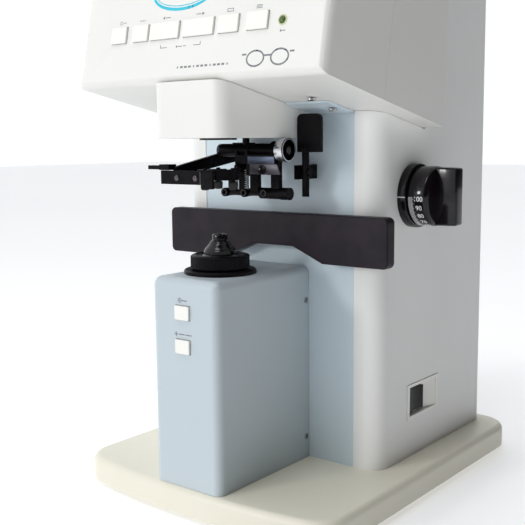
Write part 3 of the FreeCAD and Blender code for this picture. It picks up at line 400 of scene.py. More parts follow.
def bar(x, y, width, height):
    return [(x - width / 2, y - height / 2), (x + width / 2, y - height / 2),
            (x + width / 2, y + height / 2), (x - width / 2, y + height / 2)]


def loop(x, y, across, up, line, steps=48):
    """Ring as short quads; across and up are its outer half sizes."""
    quads = []
    for i in range(steps):
        a, b = (2 * math.pi * k / steps for k in (i, i + 1))
        quads.append([(x + r * math.cos(t), y + s * math.sin(t)) for r, s, t in (
            (across, up, a), (across, up, b), (across - line, up - line, b), (across - line, up - line, a))])
    return quads


def dot(x, y, radius, steps=24):
    turns = [2 * math.pi * i / steps for i in range(steps)]
    return [(x + radius * math.cos(t), y + radius * math.sin(t)) for t in turns]


def stamp(name, shapes, place, material, body, film=0.06):
    """Ink film from flat outlines in millimetres."""
    bm = bmesh.new()
    for outline in shapes:
        low = [bm.verts.new((x * MM, y * MM, -0.02 * MM)) for x, y in outline]
        high = [bm.verts.new((x * MM, y * MM, film * MM)) for x, y in outline]
        bm.faces.new(high)
        bm.faces.new(low[::-1])
        for i in range(len(low)):
            j = (i + 1) % len(low)
            bm.faces.new([low[i], low[j], high[j], high[i]])
    bmesh.ops.remove_doubles(bm, verts=bm.verts, dist=1e-7)
    bm.transform(place)
    return piece(name, bm, material, body)


def figures(text, height):
    """Flat mesh of some figures, centred, height in metres."""
    curve = bpy.data.curves.new("figures", "FONT")
    curve.body = text
    curve.size = height * 1.4
    curve.align_x, curve.align_y = "CENTER", "CENTER"
    curve.extrude = 0.03 * MM
    holder = bpy.data.objects.new("figures", curve)
    mesh = bpy.data.meshes.new_from_object(holder)
    bm = bmesh.new()
    bm.from_mesh(mesh)
    bpy.data.meshes.remove(mesh)
    bpy.data.objects.remove(holder)
    return bm


def pictogram(kind, x, y):
    """Outlines of the mark over one key."""
    if kind == "ring":
        return loop(x, y, 1.3, 1.3, 0.35, 24) + [bar(x + 3.4, y, 3, 0.4)]
    if kind == "dots":
        return [dot(x + i * 2, y, 0.5, 12) for i in (-1, 0, 1)]
    if kind == "sheet":
        return [bar(x, y + 0.9, 4.4, 0.4), bar(x, y - 0.9, 4.4, 0.4),
                bar(x - 2.4, y, 0.4, 2.2), bar(x + 2.4, y, 0.4, 2.2)]
    if kind == "lines":
        return [bar(x, y + i * 0.9, 4.6, 0.4) for i in (-1, 0, 1)]
    side = 1 if kind == "right" else -1
    arrow = [(x + side * 3.6, y), (x + side * 1.6, y + side * 1.1), (x + side * 1.6, y - side * 1.1)]
    return [arrow, bar(x - side * 1.4, y, 4.4, 0.5)]


def badge_lens(x, y):
    """Lens shape as upright strips between two mirrored arcs, in millimetres."""
    half_angle, steps, half_width, arch, drop = 0.62, 24, 26, 18, 14.2
    strips = []
    for i in range(steps):
        a, b = (-half_angle + 2 * half_angle * k / steps for k in (i, i + 1))
        top = [(x + half_width * math.sin(t), y + arch * math.cos(t) - drop) for t in (a, b)]
        bottom = [(x + half_width * math.sin(t), y - arch * math.cos(t) + drop) for t in (b, a)]
        strips.append((top + bottom)[::-1])
    return strips


def head_printing():
    """Badge, key marks and spectacles mark; positions in millimetres on the head's face."""
    badge_x, badge_y = -12.7, 60.3
    badge = loop(badge_x, badge_y, 27.5, 12.2, 2.1, 96) + loop(badge_x, badge_y, 24.4, 9.2, 0.6, 96)
    stamp("badge_outline", badge, face_place(0, 0), TEAL_INK, "frame")
    stamp("badge_lens", badge_lens(badge_x, badge_y), face_place(0, 0), TEAL_INK, "frame")
    marks, row = [], 44.2
    for x, kind in ((-69.4, "ring"), (-48.1, "dots"), (-25.3, "left"),
                    (5.2, "right"), (31, "sheet"), (54.5, "lines")):
        marks += pictogram(kind, x, row)
    marks += [bar(-25.2, 23.8, 6, 0.45), bar(-28.1, 24.9, 0.45, 2.2),
              bar(5, 23.8, 6, 0.45), bar(7.9, 24.9, 0.45, 2.2),
              dot(-13, 23.8, 0.7, 16), bar(-10, 23.8, 3.4, 0.5), bar(-6, 23.8, 2.4, 0.5)]
    marks += [bar(74.6, 27.4, 4.2, 0.5), bar(73, 27.4, 0.5, 1.8)]
    marks += [bar(-10 + i * 3.6, 9.6, 2.3 if i % 4 else 1, 1.3) for i in range(13)]
    stamp("key_pictograms", marks, face_place(0, 0), GREY_INK, "frame")
    glasses = loop(55.5, 11.5, 7.2, 5.4, 1.1, 48) + loop(74.5, 11.5, 7.2, 5.4, 1.1, 48)
    glasses += [bar(65, 13, 5.4, 1.1), bar(46.4, 14.4, 3.4, 1.1), bar(83.6, 14.4, 3.4, 1.1)]
    stamp("spectacles_mark", glasses, face_place(0, 0), GREY_INK, "frame")


def tower_printing():
    for node, kind in (("button_read", "ring"), ("button_next", "plus")):
        low, high = corners(node)
        place = front_place((low.x + high.x) / 2, high.z + 3.6 * MM, corners("tower_cover")[0].y)
        marks = loop(-2.6, 0, 1.7, 1.7, 0.5, 24) + [dot(-2.6, 0, 0.6, 12), bar(1.6, 0, 4.6, 0.7)]
        if kind == "plus":
            marks = [bar(-6.4, 0, 3.2, 0.7), bar(-6.4, 0.95, 0.7, 1.2), bar(-6.4, -0.95, 0.7, 1.2),
                     bar(-1.2, 0, 5.4, 0.7), bar(5, 0, 5.4, 0.7)]
        stamp(node + "_mark", marks, place, GREY_INK, "frame")


# ---------- repeated pieces, grown by node trees ----------

def new_tree(name, sizes):
    """Geometry node tree with named float or integer inputs."""
    tree = bpy.data.node_groups.new(name, "GeometryNodeTree")
    tree.interface.new_socket("Geometry", in_out="INPUT", socket_type="NodeSocketGeometry")
    for label, default in sizes.items():
        kind = "NodeSocketInt" if isinstance(default, int) else "NodeSocketFloat"
        tree.interface.new_socket(label, in_out="INPUT", socket_type=kind).default_value = default
    tree.interface.new_socket("Finish", in_out="INPUT", socket_type="NodeSocketMaterial")
    tree.interface.new_socket("Geometry", in_out="OUTPUT", socket_type="NodeSocketGeometry")
    return tree, tree.nodes.new("NodeGroupInput"), tree.nodes.new("NodeGroupOutput")


def finish_tree(tree, source, geometry, output):
    """Every tree ends in Realize Instances and Set Material."""
    real = tree.nodes.new("GeometryNodeRealizeInstances")
    tint = tree.nodes.new("GeometryNodeSetMaterial")
    tree.links.new(geometry, real.inputs[0])
    tree.links.new(real.outputs[0], tint.inputs["Geometry"])
    tree.links.new(source.outputs["Finish"], tint.inputs["Material"])
    tree.links.new(tint.outputs["Geometry"], output.inputs[0])


def grow(name, tree, host, sizes, material):
    """Run a tree on a host mesh and return the plain mesh that it makes."""
    item = bpy.data.objects.new(name + "_host", host)
    bpy.context.scene.collection.objects.link(item)
    modifier = item.modifiers.new("grow", "NODES")
    modifier.node_group = tree
    for socket in tree.interface.items_tree:
        if socket.in_out == "INPUT" and socket.name in sizes:
            modifier[socket.identifier] = sizes[socket.name]
        if socket.in_out == "INPUT" and socket.name == "Finish":
            modifier[socket.identifier] = material
    graph = bpy.context.evaluated_depsgraph_get()
    mesh = bpy.data.meshes.new_from_object(item.evaluated_get(graph))
    item.modifiers.remove(modifier)
    bpy.data.objects.remove(item)
    mesh.name = name
    return mesh


def feed(tree, node, values):
    """Give a node's inputs their numbers or links, in order, and return its first output."""
    for socket, amount in zip(node.inputs, values):
        if isinstance(amount, (int, float)):
            socket.default_value = amount
        else:
            tree.links.new(amount, socket)
    return node.outputs[0]


def scaled(tree, socket, factor):
    node = tree.nodes.new("ShaderNodeMath")
    node.operation = "MULTIPLY"
    return feed(tree, node, (socket, factor))


def size_vector(tree, *values):
    return feed(tree, tree.nodes.new("ShaderNodeCombineXYZ"), values)


def raised(tree, geometry, height):
    """Geometry moved along Z."""
    move = tree.nodes.new("GeometryNodeTransform")
    tree.links.new(geometry, move.inputs["Geometry"])
    tree.links.new(size_vector(tree, 0, 0, height), move.inputs["Translation"])
    return move.outputs[0]


def screw_tree():
    """Pan head with a cross recess, one on each point, turned to the point's facing."""
    tree, source, output = new_tree("screw_heads", {"Radius": 0.003, "Rise": 0.0015, "Recess": 0.0006})
    radius, rise, recess = (source.outputs[label] for label in ("Radius", "Rise", "Recess"))
    head = tree.nodes.new("GeometryNodeMeshCone")
    head.inputs["Vertices"].default_value = SCREW_SIDES
    head.inputs["Side Segments"].default_value = 1
    tree.links.new(scaled(tree, radius, 0.72), head.inputs["Radius Top"])
    tree.links.new(radius, head.inputs["Radius Bottom"])
    tree.links.new(scaled(tree, rise, 0.45), head.inputs["Depth"])
    skirt = tree.nodes.new("GeometryNodeMeshCylinder")
    skirt.inputs["Vertices"].default_value = SCREW_SIDES
    tree.links.new(radius, skirt.inputs["Radius"])
    tree.links.new(scaled(tree, rise, 1.1), skirt.inputs["Depth"])
    solid = tree.nodes.new("GeometryNodeMeshBoolean")
    solid.operation = "UNION"
    tree.links.new(raised(tree, head.outputs["Mesh"], scaled(tree, rise, 0.55)), solid.inputs["Mesh 2"])
    tree.links.new(skirt.outputs["Mesh"], solid.inputs["Mesh 2"])
    cross = tree.nodes.new("GeometryNodeJoinGeometry")
    arm_length = scaled(tree, radius, 1.15)
    for pair in ((recess, arm_length), (arm_length, recess)):
        arm = tree.nodes.new("GeometryNodeMeshCube")
        tree.links.new(size_vector(tree, *pair, rise), arm.inputs["Size"])
        tree.links.new(raised(tree, arm.outputs["Mesh"], scaled(tree, rise, 0.95)), cross.inputs[0])
    slot = tree.nodes.new("GeometryNodeMeshBoolean")
    slot.operation = "DIFFERENCE"
    tree.links.new(solid.outputs["Mesh"], slot.inputs["Mesh 1"])
    tree.links.new(cross.outputs[0], slot.inputs["Mesh 2"])
    facing = tree.nodes.new("GeometryNodeInputNamedAttribute")
    facing.data_type = "FLOAT_VECTOR"
    facing.inputs["Name"].default_value = "facing"
    align = tree.nodes.new("FunctionNodeAlignRotationToVector")
    align.axis = "Z"
    tree.links.new(facing.outputs["Attribute"], align.inputs["Vector"])
    instance = tree.nodes.new("GeometryNodeInstanceOnPoints")
    tree.links.new(source.outputs["Geometry"], instance.inputs["Points"])
    tree.links.new(slot.outputs["Mesh"], instance.inputs["Instance"])
    tree.links.new(align.outputs["Rotation"], instance.inputs["Rotation"])
    finish_tree(tree, source, instance.outputs[0], output)
    return tree


SCREWS = screw_tree()


def screws(name, spots, radius, rise, material, body, replaces=()):
    """Screw heads at (place, facing) spots."""
    host = bpy.data.meshes.new(name + "_points")
    host.from_pydata([tuple(place) for place, facing in spots], [], [])
    facing_data = host.attributes.new("facing", "FLOAT_VECTOR", "POINT")
    for i, (place, facing) in enumerate(spots):
        facing_data.data[i].vector = facing
    mesh = grow(name, SCREWS, host, {"Radius": radius, "Rise": rise, "Recess": radius * 0.24}, material)
    return piece(name, mesh, material, body, replaces, smooth_angle=30)


def ridge_tree():
    """Straight ridges standing round a circle, for knurls."""
    tree, source, output = new_tree("knurl_ridges", {"Count": 72, "Radius": 0.02, "Length": 0.006,
                                                     "Width": 0.001, "Height": 0.0})
    circle = tree.nodes.new("GeometryNodeMeshCircle")
    tree.links.new(source.outputs["Count"], circle.inputs["Vertices"])
    tree.links.new(source.outputs["Radius"], circle.inputs["Radius"])
    ridge = tree.nodes.new("GeometryNodeMeshCylinder")
    ridge.inputs["Vertices"].default_value = 8
    tree.links.new(scaled(tree, source.outputs["Width"], 0.5), ridge.inputs["Radius"])
    tree.links.new(source.outputs["Length"], ridge.inputs["Depth"])
    instance = tree.nodes.new("GeometryNodeInstanceOnPoints")
    tree.links.new(circle.outputs["Mesh"], instance.inputs["Points"])
    tree.links.new(ridge.outputs["Mesh"], instance.inputs["Instance"])
    finish_tree(tree, source, raised(tree, instance.outputs[0], source.outputs["Height"]), output)
    return tree


RIDGES = ridge_tree()


def knurl(name, count, radius, length, width, height, material):
    host = bpy.data.meshes.new(name + "_seed")
    sizes = {"Count": count, "Radius": radius, "Length": length, "Width": width, "Height": height}
    bm = bmesh.new()
    bm.from_mesh(grow(name, RIDGES, host, sizes, material))
    return bm


# ---------- nosepiece ----------

def nosepiece():
    low, high = corners("nose_ring")
    radius = high.x - 0.25 * MM
    upright = Matrix()
    profile = [(14 * MM, low.z), (radius - 1 * MM, low.z), (radius, low.z + 0.8 * MM),
               (radius, high.z - 1.8 * MM), (radius - 0.5 * MM, high.z - 1.2 * MM),
               (radius - 2.4 * MM, high.z - 0.5 * MM), (radius - 3.4 * MM, high.z - 0.5 * MM),
               (radius - 3.8 * MM, high.z - 1.2 * MM), (15.5 * MM, high.z - 1.6 * MM),
               (13.3 * MM, high.z - 1.2 * MM), (13.3 * MM, low.z + 1 * MM)]
    ring = lathe(profile, upright, 144, closed=True)
    ridges = knurl("knurl", 84, radius - 0.25 * MM, high.z - low.z - 2.8 * MM, 1.0 * MM,
                   (low.z + high.z) / 2 - 0.35 * MM, ANODISED)
    stand_in("knurled_ring", join(ring, ridges), ANODISED, "nose_ring", 32)
    low, high = corners("nose_flange")
    rim = high.x
    profile = [(14.8 * MM, low.z), (rim - 0.4 * MM, low.z), (rim, low.z + 0.4 * MM), (rim, high.z - 0.9 * MM),
               (rim - 0.9 * MM, high.z - 0.1 * MM), (rim - 2 * MM, high.z), (14.8 * MM, high.z)]
    stand_in("flange_ring", lathe(profile, upright, 144, closed=True), ANODISED, "nose_flange")
    low, high = corners("nosepiece")
    base, tip = low.z, high.z
    bell = tip - 11 * MM
    profile = [(3.7 * MM, base), (13 * MM, base), (13 * MM, base + 12.4 * MM), (12.0 * MM, base + 12.9 * MM),
               (11.4 * MM, base + 13.4 * MM), (11.3 * MM, bell - 0.4 * MM)]
    for i in range(13):
        turn = i / 12
        sweep = 0.5 - 0.5 * math.cos(math.pi * turn)
        profile.append(((10.9 - 4.1 * (0.55 * turn + 0.45 * sweep)) * MM, bell + 5.6 * MM * turn))
    profile += [(6.1 * MM, tip - 4.6 * MM), (5.3 * MM, tip - 4.0 * MM), (5.3 * MM, tip - 0.9 * MM),
                (5.0 * MM, tip - 0.3 * MM), (4.4 * MM, tip), (3.8 * MM, tip - 0.1 * MM),
                (3.6 * MM, tip - 0.6 * MM)]
    stand_in("nosepiece_bell", lathe(profile, upright, 96, closed=True), NOSE_BLACK, "nosepiece", 40)


# ---------- dial ----------

def dial():
    low, high = corners("table_knob")
    y, z = (low.y + high.y) / 2, (low.z + high.z) / 2
    radius = (high.z - low.z) / 2
    drum_end = low.x + 15 * MM
    place = axes(Vector((0, y, z)), X, Z)
    profile = [(4 * MM, low.x), (radius - 1.2 * MM, low.x), (radius - 0.5 * MM, low.x + 0.4 * MM),
               (radius, low.x + 1.4 * MM), (radius, drum_end - 3 * MM),
               (radius - 0.4 * MM, drum_end - 1.6 * MM), (radius - 1.4 * MM, drum_end - 0.5 * MM),
               (radius - 3 * MM, drum_end), (0, drum_end + 0.2 * MM)]
    drum = lathe(profile, place, 128)
    bmesh.ops.holes_fill(drum, edges=drum.edges)
    grip = rounded_box((drum_end - 6 * MM, y - 5 * MM, z - radius + 0.6 * MM),
                       (high.x, y + 5 * MM, z + radius - 0.6 * MM), 1.6 * MM, 4)
    for vert in grip.verts:
        reach = max(0, (vert.co.x - drum_end) / (high.x - drum_end))
        vert.co.y = y + (vert.co.y - y) * (1.16 - 0.16 * reach)
        vert.co.z = z + (vert.co.z - z) * (1 - 0.03 * reach ** 3)
    stand_in("dial_knob", join(drum, grip), GLOSS_BLACK, "table_knob", 38)

    def on_drum(bm, turn, along, lift):
        """Wrap a flat mesh on the drum: its X runs along the shaft, its Y round the drum."""
        for vert in bm.verts:
            angle = turn + vert.co.y / radius
            reach = radius + lift + vert.co.z
            vert.co = Vector((along + vert.co.x, y - reach * math.cos(angle), z + reach * math.sin(angle)))
        return bm

    step, start = math.radians(17.5), math.radians(3.5)
    marks = bmesh.new()
    for i, number in enumerate(("100", "90", "80", "70", "60", "50", "40")):
        join(marks, on_drum(figures(number, 3.5 * MM), -start - i * step, low.x + 8.6 * MM, 0.02 * MM))
    for i in range(-2, 64):
        length = 4.4 * MM if i % 5 == 0 else 3.4 * MM
        tick = rounded_box((-length / 2, -0.1 * MM, -0.05 * MM),
                           (length / 2, 0.1 * MM, 0.05 * MM), 0.02 * MM, 1)
        join(marks, on_drum(tick, -start - i * step / 10, low.x + 0.9 * MM + length / 2, 0))
    piece("dial_figures", marks, WHITE_INK, body_of("table_knob"))
    low, high = corners("dial_ring")
    rim = (high.z - low.z) / 2
    profile = [(9 * MM, low.x), (rim, low.x), (rim, high.x - 1.1 * MM), (rim - 0.3 * MM, high.x - 0.5 * MM),
               (rim - 1.3 * MM, high.x), (rim - 2.6 * MM, high.x), (9 * MM, high.x - 0.6 * MM)]
    stand_in("index_ring", lathe(profile, place, 128, closed=True), GLOSS_BLACK, "dial_ring")
    line = rounded_box((low.x + 0.1 * MM, -0.3 * MM, -0.1 * MM),
                       (high.x - 0.4 * MM, 0.3 * MM, 0.05 * MM), 0.02 * MM, 1)
    for vert in line.verts:
        vert.co = Vector((vert.co.x, y - rim - vert.co.z, z + vert.co.y))
    piece("index_line", line, WHITE_INK, "frame")


# ---------- marker and lens holder details ----------

def carriage_details(low, high, y, z):
    """Rim and face of the disc at the barrel's right end, and the cap at its left."""
    right, left = axes(Vector((high.x, y, z)), X, Z), axes(Vector((low.x, y, z)), -X, Z)
    rim = mm((8.15, -7), (8.15, -0.6), (7.85, 0.05), (7.0, 0.05), (6.8, -0.5), (6.8, -6.9))
    rim = [(radius + 0.08 * MM, height) for radius, height in rim]
    piece("disc_rim", lathe(rim, right, 96, closed=True), ALUMINIUM, "carriage")
    face = mm((6.7, -0.3), (6.5, 0), (3.4, 0), (3.2, -0.5), (2.6, -0.5), (2.3, 0.15), (0, 0.15))
    piece("disc_face", lathe(face, right, 64), SMOKED, "carriage")
    cap = mm((4.72, -2.4), (4.72, -0.8), (4.2, 0), (3.0, 0.1), (2.8, -0.3), (0, -0.3))
    piece("barrel_cap", lathe(cap, left, 64), GLOSS_BLACK, "carriage")


def pen_details():
    """Stepped ends of the three pens, each with a thin ring."""
    low, high = corners("marker_pens")
    spacing = (high.x - low.x - (high.z - low.z)) / 2
    cap = mm((0, -0.6), (1.0, -0.6), (1.2, 1.4), (1.7, 1.9), (2.9, 1.9), (3.2, 1.5), (3.2, -1.4), (2.7, -1.8))
    band = mm((1.75, 1.7), (1.9, 2.05), (2.15, 2.05), (2.3, 1.7))
    pens, rings = bmesh.new(), bmesh.new()
    for i in (-1, 0, 1):
        end = axes(Vector((i * spacing, low.y, (low.z + high.z) / 2)), -Y, Z)
        join(pens, lathe(cap, end, 48))
        join(rings, lathe(band, end, 48, closed=True))
    piece("pen_ends", pens, BLACKENED, "marker_head")
    piece("pen_end_rings", rings, SMOKED, "marker_head")


def pen_springs(y, base):
    """Two small coil springs, as short straight links."""
    turns, wire, coil, length, links_per_turn = 9, 0.28 * MM, 1.25 * MM, 14 * MM, 12.6
    count = turns * links_per_turn
    springs = bmesh.new()
    for x in (-6.6 * MM, 2.9 * MM):
        path = [Vector((x + coil * math.cos(0.5 * k), y - 3.4 * MM + coil * math.sin(0.5 * k),
                        base + length * k / count)) for k in range(int(count))]
        for a, b in zip(path, path[1:]):
            link = lathe([(wire, 0.0), (wire, (b - a).length * 1.12)], axes(a, b - a, X), 6)
            join(springs, link)
    piece("pen_springs", springs, STEEL, "marker_head")


def marker_details():
    """Small pieces of the marker, placed from its swing axis."""
    joints = frame["record"]["behaviour"]["joints"]
    pivot = Vector(next(j for j in joints if j["name"] == "marker_swing")["pos_m"])
    y, z = pivot.y, pivot.z
    carriage_details(*corners("marker_carriage"), y, z)
    pen_details()
    front = y - 6.1 * MM
    plate = rounded_box((8.2 * MM, front - 0.35 * MM, z - 16.6 * MM),
                        (33.8 * MM, front + 0.3 * MM, z - 9.4 * MM), 0.12 * MM, 2)
    for vert in plate.verts:
        if vert.co.x > 20 * MM:
            vert.co.x += (z - 13 * MM - vert.co.z) * 0.42
    piece("marker_face_plate", plate, BRUSHED, "marker_head")
    strip = rounded_box((6.2 * MM, front - 0.15 * MM, z - 9.2 * MM),
                        (29.8 * MM, front + 0.2 * MM, z - 4.2 * MM), 0.08 * MM, 2)
    piece("marker_spring_strip", strip, BLUED, "marker_head")
    collar = lathe(mm((0, 0.9), (1.7, 0.9), (3.4, 0.5), (3.4, -1.2)),
                   axes(Vector((19.4 * MM, front - 0.35 * MM, z - 13.4 * MM)), -Y, Z), 40)
    piece("plate_collar", collar, BLACKENED, "marker_head")
    screws("plate_screw", [(Vector((18.6 * MM, front - 1.3 * MM, z - 13 * MM)), -Y)],
           1.8 * MM, 1.0 * MM, SCREW_STEEL, "marker_head")
    ball = lathe(mm((0, 4.2), (1.6, 3.9), (2.9, 2.8), (3.4, 1.2), (3.4, 0), (3.0, -1.4)),
                 axes(Vector((-2.6 * MM, front + 1.6 * MM, z - 12.2 * MM)), -Y, Z), 40)
    piece("hub_button", ball, BLACKENED, "marker_head")
    pen_springs(y, z - 27.5 * MM)


def holder_details():
    low, high = corners("holder_front_plate")
    screw_row = high.z - 5 * MM
    screws("front_plate_screws", [(Vector((x * MM, low.y, screw_row)), -Y) for x in (-23.5, -6.2)],
           2.0 * MM, 0.9 * MM, SMOKED, "holder")
    # Lighter metal strip at the step in the front plate: a real edge, drawn lighter as a painted highlight
    edge = rounded_box((-2.1 * MM, low.y - 0.12 * MM, high.z - 9.3 * MM),
                       (-1.6 * MM, low.y + 0.2 * MM, high.z - 0.2 * MM), 0.05 * MM, 1)
    piece("front_plate_edge_highlight", edge, SMOKED, "holder")
    pin_foot = corners("lens_pins")[0].z
    pin_circle = 11 * MM
    profile = mm((0, 0), (2.2, 0.1), (2.9, 0.7), (3.1, 4.6), (2.4, 5.6), (0, 5.6))
    pads = bmesh.new()
    for i in range(3):
        angle = math.radians(13 + 120 * i)
        spot = Matrix.Translation((pin_circle * math.cos(angle), pin_circle * math.sin(angle), pin_foot))
        join(pads, lathe(profile, spot, 32))
    piece("lens_pin_pads", pads, RUBBER, "holder")


# ---------- display, lamp, printer ----------

def display():
    """Target, table of figures and ground behind the window; outlines in millimetres."""
    depth, rise = 3 * MM + 2.4 * MM, 100 * MM
    target = 18
    outlines = (loop(target, 0, 19, 19, 0.5, 64) + loop(target, 0, 10, 10, 0.4, 48)
                + loop(target, 0, 2.2, 2.2, 0.4, 24))
    outlines += [bar(target, 0, 44, 0.4), bar(target, 0, 0.4, 44)]
    outlines += [bar(target + 5 * i, 0, 0.3, 2) for i in range(-4, 5)]
    outlines += [bar(target, 5 * i, 2, 0.3) for i in range(-4, 5)]
    for row in range(4):
        y = 16 - 10 * row
        outlines += [bar(-44, y, 5, 3)] + [bar(-36 + 4.2 * i, y, 2.6, 4.6) for i in range(4)]
    ground = rounded_box((-56 * MM, -28 * MM, -0.1 * MM), (56 * MM, 28 * MM, 0.05 * MM), 0.03 * MM, 1)
    ground.transform(face_place(0, rise, -depth - 0.15 * MM))
    piece("display_ground", ground, LCD_GLASS, "frame")
    stamp("display_segments", outlines, face_place(0, rise, -depth), LCD_INK, "frame", 0.03)


def lamp():
    place = face_place(73.7 * MM, 34 * MM)
    radius, foot, dome_height = 2.3 * MM, 0.4 * MM, 1.1 * MM
    dome = [(radius, -1 * MM), (radius, foot)]
    dome += [(radius * math.cos(a), foot + dome_height * math.sin(a)) for a in (0.3, 0.6, 0.9, 1.2)]
    dome.append((0, foot + dome_height))
    stand_in("lamp_dome", lathe(dome, place, 40), LAMP_GREEN, "power_lamp")
    bezel = mm((2.45, -1), (3.4, 0), (3.4, 0.25), (2.6, 0.5), (2.4, 0.2))
    piece("lamp_bezel", lathe(bezel, place, 48, closed=True), LAMP_RIM, "frame")


def printer_top():
    """Tongue of paper that curls out at the lid's front, and the bar that it is torn on."""
    low, high = corners("printer_lid")
    strip = bmesh.new()
    width = 57 * MM
    start = Vector(((low.x + high.x) / 2 - 28.5 * MM, low.y + 6 * MM, high.z - 0.6 * MM))
    rows = []
    for i in range(15):
        curl = i / 14
        y = start.y + 0.5 * MM - 3.5 * MM * math.sin(curl * 1.4)
        z = start.z - 1 * MM + 5.8 * MM * math.sin(curl * 1.35)
        rows.append([strip.verts.new((start.x + width * k / 6, y, z)) for k in range(7)])
    for lower, upper in zip(rows, rows[1:]):
        for a, b, c, d in zip(lower, lower[1:], upper[1:], upper):
            strip.faces.new((a, b, c, d))
    item = piece("paper_tongue", strip, PAPER, "lid")
    thick = item.modifiers.new("thickness", "SOLIDIFY")
    thick.thickness = 0.1 * MM
    jaw = rounded_box((start.x - 3 * MM, start.y - 0.2 * MM, start.z - 0.2 * MM),
                      (start.x + width + 3 * MM, start.y + 2.6 * MM, start.z + 1.2 * MM), 0.4 * MM, 2)
    piece("tear_bar", jaw, DEEP_BLACK, "lid")


def islands(bm):
    """Point sets of a mesh's separate shells."""
    groups, seen = [], set()
    for vert in bm.verts:
        if vert in seen:
            continue
        stack, cluster = [vert], []
        seen.add(vert)
        while stack:
            current = stack.pop()
            cluster.append(current.co.copy())
            for edge in current.link_edges:
                other = edge.other_vert(current)
                if other not in seen:
                    seen.add(other)
                    stack.append(other)
        groups.append(cluster)
    return groups


def fasteners():
    """Screw heads that close the casings, in place of the frame's plain ones."""
    sunk = 1.2 * MM
    bm = merged("casing_screws")
    small, large = [], []
    for cluster in islands(bm):
        low = Vector([min(c[i] for c in cluster) for i in range(3)])
        high = Vector([max(c[i] for c in cluster) for i in range(3)])
        middle, size = (low + high) / 2, high - low
        if size.x < size.y:
            facing = X if middle.x > 0 else -X
        elif size.y < size.z:
            facing = Y
        else:
            facing = -Z
        outer_face = middle + Vector([facing[i] * size[i] / 2 for i in range(3)])
        (small if abs(facing.x) > 0.5 else large).append((outer_face - facing * sunk, facing))
    bm.free()
    screws("tower_side_screws", small, 1.9 * MM, 1.2 * MM, SCREW_STEEL, "frame", ["casing_screws"])
    screws("panel_screws", large, 2.9 * MM, 1.2 * MM, SCREW_STEEL, "frame")


def lay_floor():
    """Pale floor with a little light of its own."""
    bm = bmesh.new()
    bmesh.ops.create_grid(bm, x_segments=2, y_segments=2, size=8)
    mesh = bpy.data.meshes.new("floor")
    bm.to_mesh(mesh)
    bm.free()
    floor = bpy.data.objects.new("floor", mesh)
    bpy.context.scene.collection.objects.link(floor)
    finish = Finish("pale_floor", 0.6)
    made = finish.colour(finish.noise(0.8, 2), (0.3, (0.86, 0.865, 0.88)), (0.7, (0.88, 0.885, 0.895)))
    finish.links.new(made, finish.shader.inputs["Emission Color"])
    finish.shader.inputs["Emission Strength"].default_value = FLOOR_GLOW
    mesh.materials.append(finish.mat)


def paint_sky():
    """Sky that is bright from the operator's left and dark from the right; the camera sees it pale."""
    world = bpy.data.worlds.new("soft_sky")
    bpy.context.scene.world = world
    world.use_nodes = True
    nodes, links = world.node_tree.nodes, world.node_tree.links
    background = nodes["Background"]
    background.inputs["Color"].default_value = (*SKY_COLOUR, 1)
    direction = nodes.new("ShaderNodeTexCoord").outputs["Generated"]
    slope = nodes.new("ShaderNodeVectorMath")
    slope.operation = "DOT_PRODUCT"
    slope.inputs[1].default_value = BRIGHT_SIDE
    links.new(direction, slope.inputs[0])
    glow = nodes.new("ShaderNodeMapRange")
    glow.inputs["From Min"].default_value, glow.inputs["From Max"].default_value = SKY_SLOPES
    glow.inputs["To Min"].default_value, glow.inputs["To Max"].default_value = SKY_STRENGTHS
    links.new(slope.outputs["Value"], glow.inputs["Value"])
    backdrop = nodes.new("ShaderNodeMath")
    backdrop.operation = "MAXIMUM"
    links.new(glow.outputs["Result"], backdrop.inputs[0])
    links.new(nodes.new("ShaderNodeLightPath").outputs["Is Camera Ray"], backdrop.inputs[1])
    links.new(backdrop.outputs["Value"], background.inputs["Strength"])


def hang_lights():
    for name, spot, aim, size, power in LIGHTS:
        data = bpy.data.lights.new(name, "AREA")
        data.size, data.energy = size, power
        light = bpy.data.objects.new(name, data)
        bpy.context.scene.collection.objects.link(light)
        light.location = spot
        light.rotation_euler = (Vector(aim) - Vector(spot)).to_track_quat("-Z", "Y").to_euler()
    bpy.context.scene.view_settings.view_transform = "Standard"


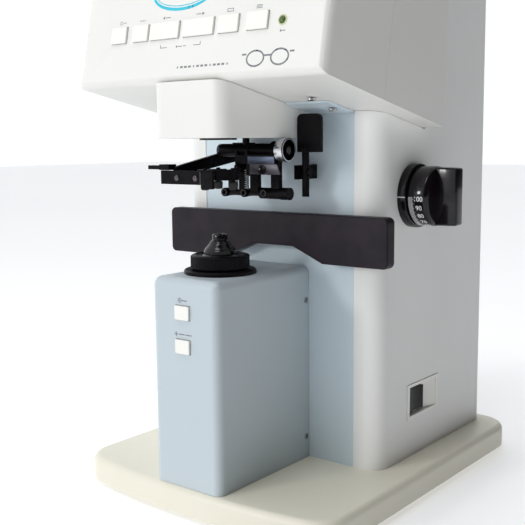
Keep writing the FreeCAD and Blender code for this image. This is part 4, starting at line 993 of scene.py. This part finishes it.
def camera():
    """Eye a little above the marker, to the operator's right, looking slightly down."""
    yaw, dip, roll = EYE_TURN
    ahead = Vector((-math.sin(yaw) * math.cos(dip), math.cos(yaw) * math.cos(dip), -math.sin(dip)))
    right = Vector((math.cos(yaw), math.sin(yaw), 0))
    down = ahead.cross(right)
    across = right * math.cos(roll) + down * math.sin(roll)
    lower = down * math.cos(roll) - right * math.sin(roll)
    data = bpy.data.cameras.new("camera")
    data.lens, data.sensor_width = LENS, SENSOR
    eye = bpy.data.objects.new("camera", data)
    bpy.context.scene.collection.objects.link(eye)
    turn = Matrix((across, -lower, -ahead)).transposed().to_4x4()
    eye.matrix_world = Matrix.Translation(EYE) @ turn
    bpy.context.scene.camera = eye


# ---------- the whole instrument ----------

for node, width, material in (
        ("base_plate", 0.6, CREAM), ("column_shell", 0.5, COLUMN), ("head_front_cover", 0.35, WHITE),
        ("head_rear_cover", 0.35, WHITE), ("neck_housing", 0.4, WHITE), ("tower_cover", 0.35, BLUE_GREY),
        ("lens_table", 1.1, SATIN_BLACK), ("holder_arm", 0.3, BLACKENED), ("pin_ring", 0.35, ANODISED),
        ("holder_front_plate", 0.3, BLACKENED), ("finger_tab", 0.4, BLACKENED),
        ("marker_frame", 0.25, BLACKENED), ("marker_carriage", 0.35, ANODISED),
        ("marker_pens", 0.2, BLACKENED), ("thumb_plate", 0.5, THUMB_BLACK), ("lever_rod", 0.3, BLACKENED),
        ("lever_bracket", 0.3, BLACKENED), ("power_rocker", 0.5, THUMB_BLACK),
        ("switch_recess", 0.3, KEYS), ("printer_lid", 0.4, WHITE), ("rear_panel", 0.3, COLUMN),
        # neck_plate is finished near-black: partly a real plate, partly painted shade for the dark band under
        # the head
        ("neck_plate", 0.2, DEEP_BLACK), ("panel_flange", 0.2, PANEL), ("power_inlet", 0.3, DEEP_BLACK),
        ("rubber_feet", 0.6, RUBBER)):
    eased(node, width * MM, material)
dress(PANEL, "front_panel")
dress(KEYS, "button_read", "button_next", *[n for n in frame["nodes"] if n.startswith("key_")])
dress(WINDOW, "display_window")
dress(GLASS, "objective_window", "nose_glass")
dress(STEEL, "table_rails", "rack", "chassis_plate", "pinion_shaft", "holder_rod")
dress(BRASS, "guide_bushes")
dress(ANODISED, "lens_pins")
dress(DEEP_BLACK, "lcd_module", "switch_body", "printer_unit")
dress(ALUMINIUM, "power_supply", "light_unit", "sensor_tube")
dress(BOARD, "circuit_boards")
dress(PAPER, "paper_roll")
for build in (nosepiece, dial, marker_details, holder_details, display, lamp, printer_top, fasteners,
              head_printing, tower_printing, lay_floor, paint_sky, hang_lights, camera):
    build()
